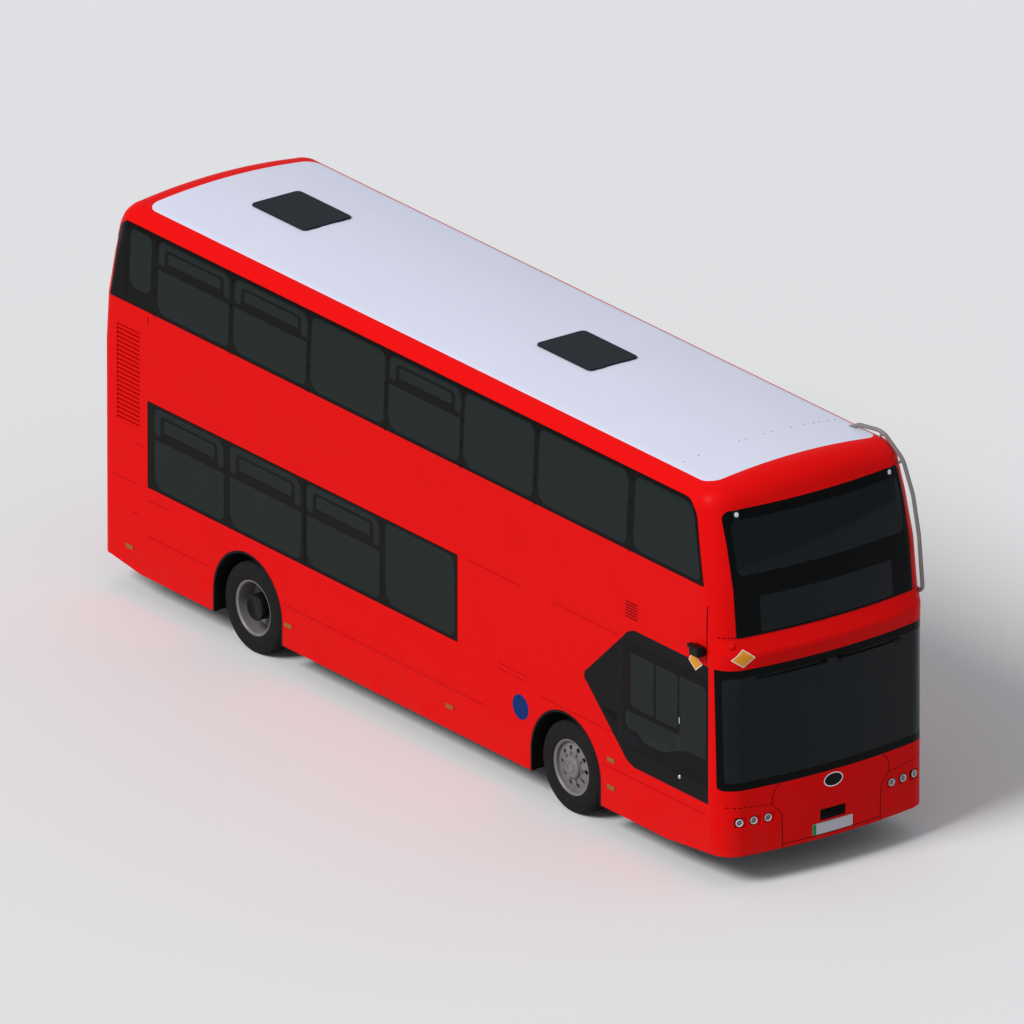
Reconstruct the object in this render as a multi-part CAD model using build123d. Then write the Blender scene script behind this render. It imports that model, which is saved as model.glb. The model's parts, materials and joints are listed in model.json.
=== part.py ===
"""Double decker city bus, full size, as an assembly of separate pieces.

Frame: millimetres, +X towards the front, +Y towards the nearside (the door side), +Z up.
The origin is on the ground, under the middle of the bus.
Side +1 is the nearside and side -1 is the offside, where the driver sits.
"""
from build123d import *
from math import cos, pi, radians, sin
import os

# ---------------------------------------------------------------- driving sizes
LENGTH = 10470.0
WIDTH = 2550.0
CROWN_Z = 4205.0            # top of the roof on the centre line
FRONT_AXLE_X = 2531.0
REAR_AXLE_X = -2760.0
WALL = 50.0                 # body wall, outer skin to trim
GLASS = 8.0                 # bonded glazing
SEAT = 0.3                  # clearance between a piece and its seat
SKIRT_Z = 278.0             # lowest edge of the body sides

NOSE_X = LENGTH / 2
TAIL_X = -LENGTH / 2
HALF = WIDTH / 2

# decks
FLOOR_Z = 345.0             # top of the low floor
FLOOR_T = 45.0
REAR_FLOOR_Z = 640.0        # top of the raised floor over the rear axle
REAR_STEP_X = -2120.0       # where the raised floor starts
DECK_Z = 2350.0             # top of the upper deck floor
DECK_T = 55.0
WAIST_Z = 2325.0            # joint between lower and upper body sides
CANT_Z = 4000.0             # joint between upper body sides and roof
SIDE_REAR_X = -5060.0       # joint between body sides and tail
SIDE_FRONT_X = 4874.0       # joint between lower sides and nose
UPPER_REAR_X = -4990.0
UPPER_FRONT_X = 4812.0

# plan outlines of the body: z, nose, tail, half width, front and rear corner radius
NOSE_BOW = 130.0
TAIL_BOW = 30.0
BROW_Z = 2490.0
SECTIONS = [
    dict(z=2630.0, set_back=45.0, tail_in=0.0, side_in=0.0, front_r=275.0, rear_r=130.0),
    dict(z=3148.0, set_back=95.0, tail_in=10.0, side_in=3.0, front_r=300.0, rear_r=170.0),
    dict(z=3600.0, set_back=190.0, tail_in=60.0, side_in=22.0, front_r=330.0, rear_r=230.0),
    dict(z=4300.0, set_back=390.0, tail_in=170.0, side_in=62.0, front_r=360.0, rear_r=320.0),
]
LOWER_FRONT_R = 270.0
LOWER_REAR_R = 130.0
CROWN_DROP = 110.0          # how much lower the roof is at its sides
ROOF_EDGE_R = 280.0

# bands of glazing
LOWER_BAND = (1259.0, 2193.0)
UPPER_BAND = (3148.0, 3988.0)
PANE_GAP = 10.0
LOWER_SIGHT = (1296.0, 2156.0)
UPPER_SIGHT = (3187.0, 3950.0)
PANE_R = 70.0
# x of both ends of each clear opening
UPPER_WINDOWS = [(-4740, -4360), (-4285, -3093), (-3010, -1796), (-1722, -500), (-426, 756),
                 (819, 1967), (2052, 3511), (3626, 4740)]
OFFSIDE_WINDOWS = [(-4322, -3159), (-3056, -1867), (-1767, -556), (-456, 689)]
NEARSIDE_WINDOWS = [(-4322, -3159), (-3056, -1867), (-1767, -1000), (819, 1900), (2020, 3120)]
OFFSIDE_BAND_X = (-4437.0, 741.0)
UPPER_BAND_X = (-4982.0, 4790.0)
BAND_LEAN = 193.0           # how far the front edge of the upper band leans back with the nose
BAND_CORNER_R = 230.0

# doors, all in the nearside: name, x of both jambs
DOORS = [("front", 3330.0, 4650.0), ("centre", -860.0, 700.0)]
DOOR_TOP_Z = 2200.0
DOOR_GAP = 15.0
LEAF_T = 36.0
LEAF_LIP = 4.0              # how far the leaf's face is inside the body side

# wheels
TYRE_R = 478.0
TYRE_W = 275.0
TYRE_INSET = 45.0
TWIN_GAP = 40.0
RIM_R = 281.0
RIM_LIP_R = 290.0
RIM_W = 228.0
STUB_R = 40.0
RUNNING = 0.05              # radial clearance of shafts in bores
KINGPIN_R = 22.0
KINGPIN_OFFSET = 112.0      # from the wheel's middle plane inwards
ARCH_R = 556.0
ARCH_TOP_Z = 1063.0
LINER_T = 18.0
LINER_IN_FRONT = 560.0      # |y| of the inner wall of the front wheel boxes
LINER_IN_REAR = 590.0
AXLE_SLOT = 150.0           # half length of the opening for the front axle in its wheel boxes

WHEEL_Y = HALF - TYRE_INSET - TYRE_W / 2
TWIN_PITCH = TYRE_W + TWIN_GAP
ARCH_Z = ARCH_TOP_Z - ARCH_R

os.makedirs("parts", exist_ok=True)


# ---------------------------------------------------------------- helpers
def save(name, shape):
    """Writes one node."""
    solids = shape.solids()
    export_step(Compound(solids) if len(solids) > 1 else solids[0], f"parts/{name}.step")


def block(x, y, z):
    """A box given by its two ends along each axis."""
    return Pos(sum(x) / 2, sum(y) / 2, sum(z) / 2) * Box(abs(x[1] - x[0]), abs(y[1] - y[0]), abs(z[1] - z[0]))


def side_prism(face_xz, side, y_in, y_out):
    """Extrudes a sketch drawn in X and Z across a body side, between two distances from the middle."""
    return extrude(Pos(0, side * y_in, 0) * (Plane.XZ * face_xz), amount=y_out - y_in, dir=(0, side, 0))


def side_window(side, x, z, radius, y_in, y_out):
    """A rounded rectangle through a body side."""
    face = Pos(sum(x) / 2, sum(z) / 2) * RectangleRounded(x[1] - x[0], z[1] - z[0], radius)
    return side_prism(face, side, y_in, y_out)


def end_prism(face_yz, x):
    """Extrudes a sketch drawn in Y and Z along X."""
    return extrude(Pos(x[0], 0, 0) * (Plane.YZ * face_yz), amount=x[1] - x[0], dir=(1, 0, 0))


def rod(start, end, radius):
    """A round bar between two points."""
    a, b = Vector(*start), Vector(*end)
    return Plane(origin=a, z_dir=(b - a)) * Pos(0, 0, (b - a).length / 2) * Cylinder(radius, (b - a).length)


# ---------------------------------------------------------------- body form
def plan(z, nose, tail, half, front_r, rear_r):
    """The outline of the body in plan: bowed ends, straight sides and round corners."""
    front = ThreePointArc((nose - NOSE_BOW, -half), (nose, 0), (nose - NOSE_BOW, half))
    rear = ThreePointArc((tail + TAIL_BOW, half), (tail, 0), (tail + TAIL_BOW, -half))
    sides = [Line(front @ 1, rear @ 0), Line(rear @ 1, front @ 0)]
    face = make_face(Wire([front, sides[0], rear, sides[1]]))
    face = fillet([v for v in face.vertices() if v.X > 0], front_r)
    face = fillet([v for v in face.vertices() if v.X < 0 and abs(abs(v.Y) - half) < 1], rear_r)
    return Pos(0, 0, z) * face


def base_plan(inset):
    """The outline of the lower body."""
    return plan(0, NOSE_X - inset, TAIL_X + inset, HALF - inset, LOWER_FRONT_R - inset, LOWER_REAR_R - inset)


def lower_form(inset):
    """The lower body as an upright solid, moved in by a distance from its outer skin."""
    return extrude(Pos(0, 0, SKIRT_Z - 60) * base_plan(inset), amount=WAIST_Z - SKIRT_Z + 60)


def upper_form(inset):
    """The upper body from the waist to the roof, moved in by a distance from its outer skin."""
    skirt = extrude(Pos(0, 0, WAIST_Z - 80) * base_plan(inset), amount=BROW_Z - WAIST_Z + 80)
    rows = [plan(s["z"], NOSE_X - s["set_back"] - inset, TAIL_X + s["tail_in"] + inset,
                 HALF - s["side_in"] - inset, s["front_r"] - inset, s["rear_r"] - inset) for s in SECTIONS]
    brow = loft([Pos(0, 0, BROW_Z) * base_plan(inset), rows[0]], ruled=True)
    edge_z = CROWN_Z - CROWN_DROP - inset
    arc = ThreePointArc((-HALF, edge_z), (0, CROWN_Z - inset), (HALF, edge_z))
    base_z = SECTIONS[0]["z"]
    walls = [Line((HALF, edge_z), (HALF, base_z)), Line((HALF, base_z), (-HALF, base_z)),
             Line((-HALF, base_z), (-HALF, edge_z))]
    crown = end_prism(make_face(Wire([arc] + walls)), (TAIL_X, NOSE_X))
    upper = loft(rows, ruled=True) & crown
    upper = fillet(upper.faces().sort_by(Axis.Z)[-1].edges(), ROOF_EDGE_R - inset)
    return skirt + brow + upper


def arch_face(x, radius, top_z, foot_z):
    """A wheel arch in X and Z: half round on straight legs."""
    centre = top_z - radius
    legs = Pos(x, (centre + foot_z) / 2) * Rectangle(2 * radius, centre - foot_z)
    top = Pos(x, centre) * Circle(radius) & Pos(x, centre + radius / 2) * Rectangle(2 * radius, radius)
    return legs + top


low_outer = lower_form(0)
low_inner = lower_form(WALL)
low_wall = low_outer - low_inner
low_rebate = low_outer - lower_form(GLASS + SEAT)
low_sheet = low_outer - lower_form(GLASS)
up_outer = upper_form(0)
up_wall = up_outer - upper_form(WALL)
up_rebate = up_outer - upper_form(GLASS + SEAT)
up_sheet = up_outer - upper_form(GLASS)

LENGTH_ALL = (TAIL_X - 100, NOSE_X + 100)
ACROSS = (-HALF - 100, HALF + 100)


def half_width(side):
    """From the middle of the bus past one side."""
    return (0, side * (HALF + 100))


# ---------------------------------------------------------------- body sides
ARCHES = [(FRONT_AXLE_X, ARCH_R), (REAR_AXLE_X, ARCH_R)]
APPROACH_X = 4207.0
DEPARTURE_X = -4570.0
ENDS_Z = 344.0              # lowest edge of nose and tail


def lifted_end(x_start, x_end):
    """The wedge cut off below the sides where the lower edge rises to the nose or tail."""
    x_far = x_end + (x_end - x_start)
    face = make_face(Polyline((x_start, SKIRT_Z), (x_end, ENDS_Z), (x_far, ENDS_Z), (x_far, SKIRT_Z - 60),
                              (x_start, SKIRT_Z - 60), close=True))
    return side_prism(face, 1, -HALF - 50, HALF + 50)


CAB_PANEL_BACK = 3533.0
CAB_PANEL = [(2830, 1565), (CAB_PANEL_BACK, 2270), (3650, WAIST_Z - 2), (SIDE_FRONT_X - 2, WAIST_Z - 2),
             (SIDE_FRONT_X - 2, 858), (3652, 858), (CAB_PANEL_BACK, 902)]
# cab windows: x ends, z ends
CAB_WINDOWS = [((3589, 3976), (1500, 2090)), ((3988, 4366), (1500, 2090)), ((4396, 4826), (1330, 2090)),
               ((3560, 4366), (1210, 1448))]
REAR_LOUVRE = ((-4970, -4552), (1819, 2896))
SMALL_LOUVRE = ((3507, 3711), (2430, 2607))


def flush_panel(side, x, z, depth):
    """A flat plate with its outer face in the straight part of the body side."""
    return block(x, (side * (HALF - depth), side * HALF), z)


def side_lower(side):
    """The lower body side, from tail to nose, with its arches and openings."""
    panel = flush_panel(side, (SIDE_REAR_X, SIDE_FRONT_X), (SKIRT_Z, WAIST_Z), WALL)
    for x, radius in ARCHES:
        panel -= side_prism(arch_face(x, radius, ARCH_TOP_Z, SKIRT_Z - 50), side, HALF - 200, HALF + 50)
    windows = OFFSIDE_WINDOWS if side < 0 else NEARSIDE_WINDOWS
    for x in windows:
        panel -= side_window(side, x, LOWER_SIGHT, PANE_R, HALF - 200, HALF + 50)
    if side < 0:
        panel -= flush_panel(side, OFFSIDE_BAND_X, LOWER_BAND, GLASS + SEAT)
        panel -= side_prism(make_face(Polyline(*CAB_PANEL, close=True)), side, HALF - GLASS - SEAT, HALF + 50)
        for x, z in CAB_WINDOWS:
            panel -= side_window(side, (x[0] + 14, x[1] - 14), (z[0] + 14, z[1] - 14), 30, HALF - 200, HALF + 50)
    else:
        for x in band_spans(windows):
            panel -= flush_panel(side, x, LOWER_BAND, GLASS + SEAT)
        for name, x0, x1 in DOORS:
            panel -= block((x0, x1), (HALF - 200, HALF + 50), (FLOOR_Z, DOOR_TOP_Z))
    panel -= lifted_end(APPROACH_X, SIDE_FRONT_X)
    panel -= lifted_end(DEPARTURE_X, SIDE_REAR_X)
    return louvre_openings(panel, side)


def band_spans(windows):
    """The stretches of the nearside's dark band, which the doors interrupt."""
    groups = [windows[:3], windows[3:]]
    return [(g[0][0] - 45, g[-1][1] + 45) for g in groups]


def louvre_openings(panel, side):
    """Cuts the offside air inlets."""
    if side < 0:
        for x, z in (REAR_LOUVRE, SMALL_LOUVRE):
            panel -= block(x, (-HALF - 50, -HALF + 200), z)
    return panel


def band_prism(side, inset):
    """The room of the upper band, its front edge leaning with the nose under a large round corner."""
    (x0, x1), (z0, z1) = UPPER_BAND_X, UPPER_BAND
    outline = make_face(Polyline((x0, z0), (x1, z0), (x1 - BAND_LEAN, z1), (x0, z1), close=True))
    corner = outline.vertices().sort_by(lambda v: v.X + v.Y)[-1]
    outline = fillet(corner, BAND_CORNER_R)
    return side_prism(offset(outline, -inset) if inset else outline, side, HALF - 300, HALF + 50)


def side_upper(side):
    """The upper body side, between waist and roof."""
    panel = up_wall & block((UPPER_REAR_X, UPPER_FRONT_X), half_width(side), (WAIST_Z, CANT_Z))
    panel -= up_rebate & band_prism(side, 0)
    sights = band_prism(side, UPPER_SIGHT[0] - UPPER_BAND[0])
    for x in UPPER_WINDOWS:
        panel -= side_window(side, x, UPPER_SIGHT, PANE_R, HALF - 300, HALF + 50) & sights
    return louvre_openings(panel, side)


for side, name in ((1, "nearside"), (-1, "offside")):
    save(f"side_lower_{name}", side_lower(side))
    save(f"side_upper_{name}", side_upper(side))


# ---------------------------------------------------------------- glazing
def pane_zones(windows, band_x, band_z):
    """The outline of each bonded pane, parted half way between neighbouring openings."""
    cuts = [band_x[0]] + [(a[1] + b[0]) / 2 for a, b in zip(windows, windows[1:])] + [band_x[1]]
    z = (band_z[0] + PANE_GAP / 2, band_z[1] - PANE_GAP / 2)
    return [((x0 + PANE_GAP / 2, x1 - PANE_GAP / 2), z) for x0, x1 in zip(cuts, cuts[1:])]


lower_panes = [flush_panel(-1, x, z, GLASS) for x, z in pane_zones(OFFSIDE_WINDOWS, OFFSIDE_BAND_X, LOWER_BAND)]
for group, span in zip((NEARSIDE_WINDOWS[:3], NEARSIDE_WINDOWS[3:]), band_spans(NEARSIDE_WINDOWS)):
    lower_panes += [flush_panel(1, x, z, GLASS) for x, z in pane_zones(group, span, LOWER_BAND)]
for x, z in CAB_WINDOWS:
    lower_panes.append(side_window(-1, (x[0] + SEAT, x[1] - SEAT), (z[0] + SEAT, z[1] - SEAT), 40, HALF - GLASS, HALF))
save("glazing_lower", Compound([p.solid() for p in lower_panes]))
upper_panes = []
for side in (1, -1):
    band = up_sheet & band_prism(side, PANE_GAP / 2)
    for x, z in pane_zones(UPPER_WINDOWS, UPPER_BAND_X, UPPER_BAND):
        upper_panes.append((band & block(x, half_width(side), z)).solid())
REAR_WINDOW = dict(half=900.0, z=(3010.0, 3800.0), r=90.0, border=60.0)


def rear_window_face(grow):
    """The upper rear window in Y and Z."""
    height = REAR_WINDOW["z"][1] - REAR_WINDOW["z"][0] + 2 * grow
    return Pos(0, sum(REAR_WINDOW["z"]) / 2) * RectangleRounded(2 * REAR_WINDOW["half"] + 2 * grow, height,
                                                                REAR_WINDOW["r"] + grow)


upper_panes += (up_sheet & end_prism(rear_window_face(REAR_WINDOW["border"] - SEAT), (TAIL_X - 50, TAIL_X + 400))).solids()
save("glazing_upper", Compound(upper_panes))

cab_panel = side_prism(offset(make_face(Polyline(*CAB_PANEL, close=True)), -SEAT), -1, HALF - GLASS, HALF)
for x, z in CAB_WINDOWS:
    cab_panel -= side_window(-1, x, z, 40, HALF - 60, HALF + 50)
save("cab_side_panel", cab_panel)


# ---------------------------------------------------------------- nose
SCREEN_LOW = dict(half=1195.0, z=(1045.0, WAIST_Z), sight_half=1105.0, sight=(1130.0, 2235.0))
SCREEN_UP = dict(half=1093.0, z=(2650.0, 3915.0), r=90.0)
UP_SIGHT = dict(half=1030.0, z=(3275.0, 3815.0), r=70.0)
BLIND = dict(half=815.0, z=(2672.0, 3040.0), r=25.0)
FRONT_MARKERS = dict(y=948.0, z=3872.0, r=24.0)
LAMP_R = 43.0
LAMP_Z = 700.0
LAMP_Y = (768.0, 928.0, 1087.0)
LAMP_SET_BACK = 12.0
GRILLE = dict(half=160.0, z=(530.0, 650.0))
PLATE = dict(half=260.0, z=(376.0, 520.0), depth=12.0)

nose_x = (SIDE_FRONT_X, NOSE_X + 50)
front_lower = low_wall & block(nose_x, ACROSS, (ENDS_Z, WAIST_Z))
screen_low_zone = block(nose_x, (-SCREEN_LOW["half"], SCREEN_LOW["half"]), SCREEN_LOW["z"])
front_lower -= low_rebate & screen_low_zone
front_lower -= block(nose_x, (-SCREEN_LOW["sight_half"], SCREEN_LOW["sight_half"]), SCREEN_LOW["sight"])
lamp_bores = [rod((4700, side * y, LAMP_Z), (NOSE_X + 60, side * y, LAMP_Z), LAMP_R + 6) for y in LAMP_Y for side in (1, -1)]
for bore in lamp_bores:
    front_lower -= bore
front_lower -= end_prism(Pos(0, sum(GRILLE["z"]) / 2) * RectangleRounded(2 * GRILLE["half"], GRILLE["z"][1] - GRILLE["z"][0], 12),
                         (NOSE_X - 60 - WALL, NOSE_X + 50))
plate_zone = block((NOSE_X - 300, NOSE_X + 50), (-PLATE["half"], PLATE["half"]), PLATE["z"])
front_lower -= (low_outer - lower_form(PLATE["depth"])) & plate_zone
save("front_lower", front_lower)
save("windscreen_lower", low_sheet & block((SIDE_FRONT_X, NOSE_X + 50),
                                       (-SCREEN_LOW["half"] + SEAT, SCREEN_LOW["half"] - SEAT),
                                       (SCREEN_LOW["z"][0] + SEAT, SCREEN_LOW["z"][1] - SEAT)))


def front_face(row, grow):
    """A rounded rectangle on the nose, in Y and Z."""
    height = row["z"][1] - row["z"][0] + 2 * grow
    return Pos(0, sum(row["z"]) / 2) * RectangleRounded(2 * (row["half"] + grow), height, row["r"] + grow)


upper_nose_x = (UPPER_FRONT_X, NOSE_X + 50)
cutter_x = (NOSE_X - 800, NOSE_X + 50)
front_upper = up_wall & block(upper_nose_x, ACROSS, (WAIST_Z, CANT_Z))
front_upper -= up_rebate & end_prism(front_face(SCREEN_UP, 0), cutter_x)
front_upper -= end_prism(front_face(UP_SIGHT, 0), cutter_x)
front_upper -= end_prism(front_face(BLIND, 0), cutter_x)
windscreen_upper = up_sheet & end_prism(front_face(SCREEN_UP, -SEAT), cutter_x)
marker_lamps = []
for side in (1, -1):
    ends = [(x, side * FRONT_MARKERS["y"], FRONT_MARKERS["z"]) for x in cutter_x]
    front_upper -= rod(ends[0], ends[1], FRONT_MARKERS["r"])
    windscreen_upper -= rod(ends[0], ends[1], FRONT_MARKERS["r"])
    marker_lamps += (up_wall & rod(ends[0], ends[1], FRONT_MARKERS["r"] - SEAT)).solids()
save("front_upper", front_upper)
save("windscreen_upper", windscreen_upper)
save("front_marker_lamps", Compound(marker_lamps))

lamps = []
lamp_layer = lower_form(LAMP_SET_BACK) - low_inner
for y in LAMP_Y:
    for side in (1, -1):
        bore = rod((4700, side * y, LAMP_Z), (NOSE_X + 60, side * y, LAMP_Z), LAMP_R + 6 - SEAT)
        lamps += (bore & lamp_layer).solids()
save("headlamps", Compound(lamps))

GRILLE_BARS = 5
grille_step = (GRILLE["z"][1] - GRILLE["z"][0]) / (GRILLE_BARS + 1)
grille = (lower_form(10) - lower_form(28)) & end_prism(front_face(dict(GRILLE, r=12.0), -SEAT), (NOSE_X - 110, NOSE_X + 50))
for i in range(GRILLE_BARS):
    z = GRILLE["z"][0] + grille_step * (i + 1)
    grille -= block((NOSE_X - 110, NOSE_X + 50), (-GRILLE["half"] + 14, GRILLE["half"] - 14), (z - 6, z + 6))
save("front_grille", grille)

# ---------------------------------------------------------------- tail
COVER = dict(half=900.0, z=(640.0, 1560.0), gap=8.0, t=34.0)
TAIL_LAMP_Y = 1080.0
TAIL_LAMP_R = 55.0
TAIL_LAMP_Z = (900.0, 1040.0, 1180.0, 1320.0)
COVER_SLOTS = 12
HINGE_R = 6.0
HINGE_OUT = 4.0             # hinge line outside the tail
HINGE_HALF = 70.0           # half length of the fixed knuckle
HINGE_END = 200.0
COVER_NOTCH = 14.0          # room in the cover round the fixed knuckle
hinge_x = TAIL_X - HINGE_OUT
hinge_z = COVER["z"][1] + 1


tail_x = (TAIL_X - 50, SIDE_REAR_X)
rear_lower = low_wall & block(tail_x, ACROSS, (ENDS_Z, WAIST_Z))
cover_face = dict(half=COVER["half"], z=COVER["z"], r=40.0)
rear_lower -= end_prism(front_face(cover_face, COVER["gap"]), (TAIL_X - 50, TAIL_X + 150))
tail_bores = [rod((TAIL_X - 50, side * TAIL_LAMP_Y, z), (TAIL_X + 200, side * TAIL_LAMP_Y, z), TAIL_LAMP_R)
              for z in TAIL_LAMP_Z for side in (1, -1)]
for bore in tail_bores:
    rear_lower -= bore
knuckle = rod((hinge_x, -HINGE_HALF + 1, hinge_z), (hinge_x, HINGE_HALF - 1, hinge_z), HINGE_R)
knuckle += block((hinge_x - HINGE_R, hinge_x - HINGE_R + 5), (-HINGE_HALF + 1, HINGE_HALF - 1), (hinge_z, hinge_z + 40))
knuckle -= rod((hinge_x, -HINGE_HALF, hinge_z), (hinge_x, HINGE_HALF, hinge_z), 3.0)
knuckle += block((hinge_x - HINGE_R, TAIL_X + 10), (-HINGE_HALF + 1, HINGE_HALF - 1), (hinge_z + 12, hinge_z + 40))
save("rear_lower", rear_lower + knuckle)
tail_lamps = []
for z in TAIL_LAMP_Z:
    for side in (1, -1):
        bore = rod((TAIL_X - 50, side * TAIL_LAMP_Y, z), (TAIL_X + 200, side * TAIL_LAMP_Y, z), TAIL_LAMP_R - SEAT)
        tail_lamps += (bore & low_wall).solids()
save("rear_lamps", Compound(tail_lamps))

cover = (low_outer - lower_form(COVER["t"])) & end_prism(front_face(cover_face, 0), (TAIL_X - 50, TAIL_X + 150))
slot_step = (COVER["z"][1] - COVER["z"][0] - 240) / COVER_SLOTS
for i in range(COVER_SLOTS):
    z = COVER["z"][0] + 120 + slot_step * (i + 0.5)
    cover -= end_prism(Pos(0, z) * RectangleRounded(2 * COVER["half"] - 300, slot_step * 0.5, 8), (TAIL_X - 50, TAIL_X + 150))
cover -= block((hinge_x, TAIL_X + COVER_NOTCH), (-HINGE_HALF - 1, HINGE_HALF + 1), (hinge_z - COVER_NOTCH, hinge_z))
for side in (1, -1):
    cover += rod((hinge_x, side * (HINGE_HALF + 1), hinge_z), (hinge_x, side * HINGE_END, hinge_z), HINGE_R)
    cover += block((hinge_x - 2, TAIL_X + 8), (side * (HINGE_HALF + 1), side * HINGE_END), (hinge_z - 14, hinge_z))
pivot_pin = rod((hinge_x, -HINGE_HALF - 3, hinge_z), (hinge_x, HINGE_HALF + 3, hinge_z), 2.95)
save("rear_cover", cover + pivot_pin)

rear_upper = up_wall & block((TAIL_X - 50, UPPER_REAR_X), ACROSS, (WAIST_Z, CANT_Z))
rear_upper -= up_rebate & end_prism(rear_window_face(REAR_WINDOW["border"]), (TAIL_X - 50, TAIL_X + 400))
rear_upper -= end_prism(rear_window_face(0), (TAIL_X - 50, TAIL_X + 400))
save("rear_upper", rear_upper)

# ---------------------------------------------------------------- roof
PANEL_HALF = 1050.0
PANEL_X = (-4760.0, 4600.0)
HATCH = dict(length=914.0, width=614.0, t=16.0, lap=38.0, r=60.0)
HATCH_X = (("rear", -3560.0), ("front", 1186.0))
HATCH_HINGE = dict(r=6.0, y=(110.0, 190.0))
cap = up_wall & block(LENGTH_ALL, ACROSS, (CANT_Z, CROWN_Z + 50))
panel_zone = extrude(Pos(sum(PANEL_X) / 2, 0, CANT_Z - 50) * RectangleRounded(PANEL_X[1] - PANEL_X[0], 2 * PANEL_HALF, 160), amount=400)
roof_panel = cap & panel_zone
for name, x in HATCH_X:
    hole = RectangleRounded(HATCH["length"] - 2 * HATCH["lap"], HATCH["width"] - 2 * HATCH["lap"], HATCH["r"] - 25)
    roof_panel -= extrude(Pos(x, 0, CANT_Z) * hole, amount=400)
    lid = extrude(Pos(x, 0, CROWN_Z + SEAT) * RectangleRounded(HATCH["length"], HATCH["width"], HATCH["r"]), amount=HATCH["t"])
    lid = chamfer(lid.faces().sort_by(Axis.Z)[-1].edges(), 6)
    turn_x, turn_z = x + HATCH["length"] / 2, CROWN_Z + SEAT + HATCH_HINGE["r"]
    for side in (1, -1):
        ends = [side * y for y in HATCH_HINGE["y"]]
        lid += rod((turn_x, ends[0], turn_z), (turn_x, ends[1], turn_z), HATCH_HINGE["r"])
    save(f"roof_hatch_{name}", lid)
save("roof_panel", roof_panel)
save("roof_cove", cap - panel_zone)

# ---------------------------------------------------------------- offside louvres
LOUVRE_PITCH = 47.0
louvres = []
for x, z in (REAR_LOUVRE, SMALL_LOUVRE):
    frame_y = (-HALF, -HALF + 30)
    outer_frame = block((x[0] + SEAT, x[1] - SEAT), frame_y, (z[0] + SEAT, z[1] - SEAT))
    frame = outer_frame - block((x[0] + 16, x[1] - 16), (-HALF - 10, -HALF + 60), (z[0] + 16, z[1] - 16))
    count = int((z[1] - z[0] - 32) / LOUVRE_PITCH)
    step = (z[1] - z[0] - 32) / count
    for i in range(count):
        foot = z[0] + 16 + step * i
        slat = make_face(Polyline((-HALF + 2, foot + 3), (-HALF + 26, foot + step * 0.75), (-HALF + 26, foot + step * 0.75 + 5),
                                  (-HALF + 2, foot + 8), close=True))
        frame += end_prism(slat, (x[0] + 15, x[1] - 15))
    louvres.append(frame)
save("offside_louvres", Compound([s for f in louvres for s in f.solids()]))

# ---------------------------------------------------------------- small lamps
MARKER = dict(length=120.0, height=45.0, proud=10.0)
OFFSIDE_MARKERS = [(-4741, 526), (-2074, 526), (615, 526), (3281, 526), (3281, 818)]
NEARSIDE_MARKERS = [(-4741, 526), (-2074, 526), (1180, 526), (3215, 526)]
markers = []
for side in (1, -1):
    for x, z in NEARSIDE_MARKERS if side > 0 else OFFSIDE_MARKERS:
        body = block((x - MARKER["length"] / 2, x + MARKER["length"] / 2),
                     (side * (HALF + SEAT), side * (HALF + MARKER["proud"])),
                     (z - MARKER["height"] / 2, z + MARKER["height"] / 2))
        markers.append(fillet(body.edges().filter_by(Axis.Y), 12).solid())
save("side_markers", Compound(markers))

# ---------------------------------------------------------------- floors
FLOOR_FRONT_X = 4780.0
FLOOR_REAR_X = -5080.0
FLOOR_HALF = HALF - WALL - SEAT
BOX_CLEAR = 2.0             # from the arch's edge in the side to the wheel box


def wheel_box(x, side, y_in):
    """The box over a wheel inside the body: a round roof on straight legs, closed by an inner wall."""
    radius = ARCH_R + BOX_CLEAR
    top = ARCH_TOP_Z + BOX_CLEAR
    shell = side_prism(arch_face(x, radius + LINER_T, top + LINER_T, SKIRT_Z + 6), side, y_in + LINER_T + SEAT, FLOOR_HALF)
    shell -= side_prism(arch_face(x, radius, top, SKIRT_Z - 40), side, y_in, HALF)
    inner_wall = side_prism(arch_face(x, radius + LINER_T, top + LINER_T, SKIRT_Z + 6), side, y_in, y_in + LINER_T)
    return shell, inner_wall


boxes = []
for side in (1, -1):
    shell, inner_wall = wheel_box(FRONT_AXLE_X, side, LINER_IN_FRONT)
    mouth = (FRONT_AXLE_X - AXLE_SLOT, FRONT_AXLE_X + AXLE_SLOT)
    inner_wall -= block(mouth, (side * (LINER_IN_FRONT - 5), side * (LINER_IN_FRONT + 60)), (SKIRT_Z - 10, TYRE_R + 150))
    boxes += shell.solids() + inner_wall.solids()
    shell, inner_wall = wheel_box(REAR_AXLE_X, side, LINER_IN_REAR)
    mouth = (REAR_AXLE_X - 110, REAR_AXLE_X + 110)
    inner_wall -= block(mouth, (side * (LINER_IN_REAR - 5), side * (LINER_IN_REAR + 60)), (SKIRT_Z - 10, TYRE_R))
    inner_wall -= rod((REAR_AXLE_X, side * (LINER_IN_REAR - 40), TYRE_R), (REAR_AXLE_X, side * (LINER_IN_REAR + 60), TYRE_R), 110)
    boxes += shell.solids() + inner_wall.solids()
save("wheel_boxes", Compound(boxes))

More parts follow.
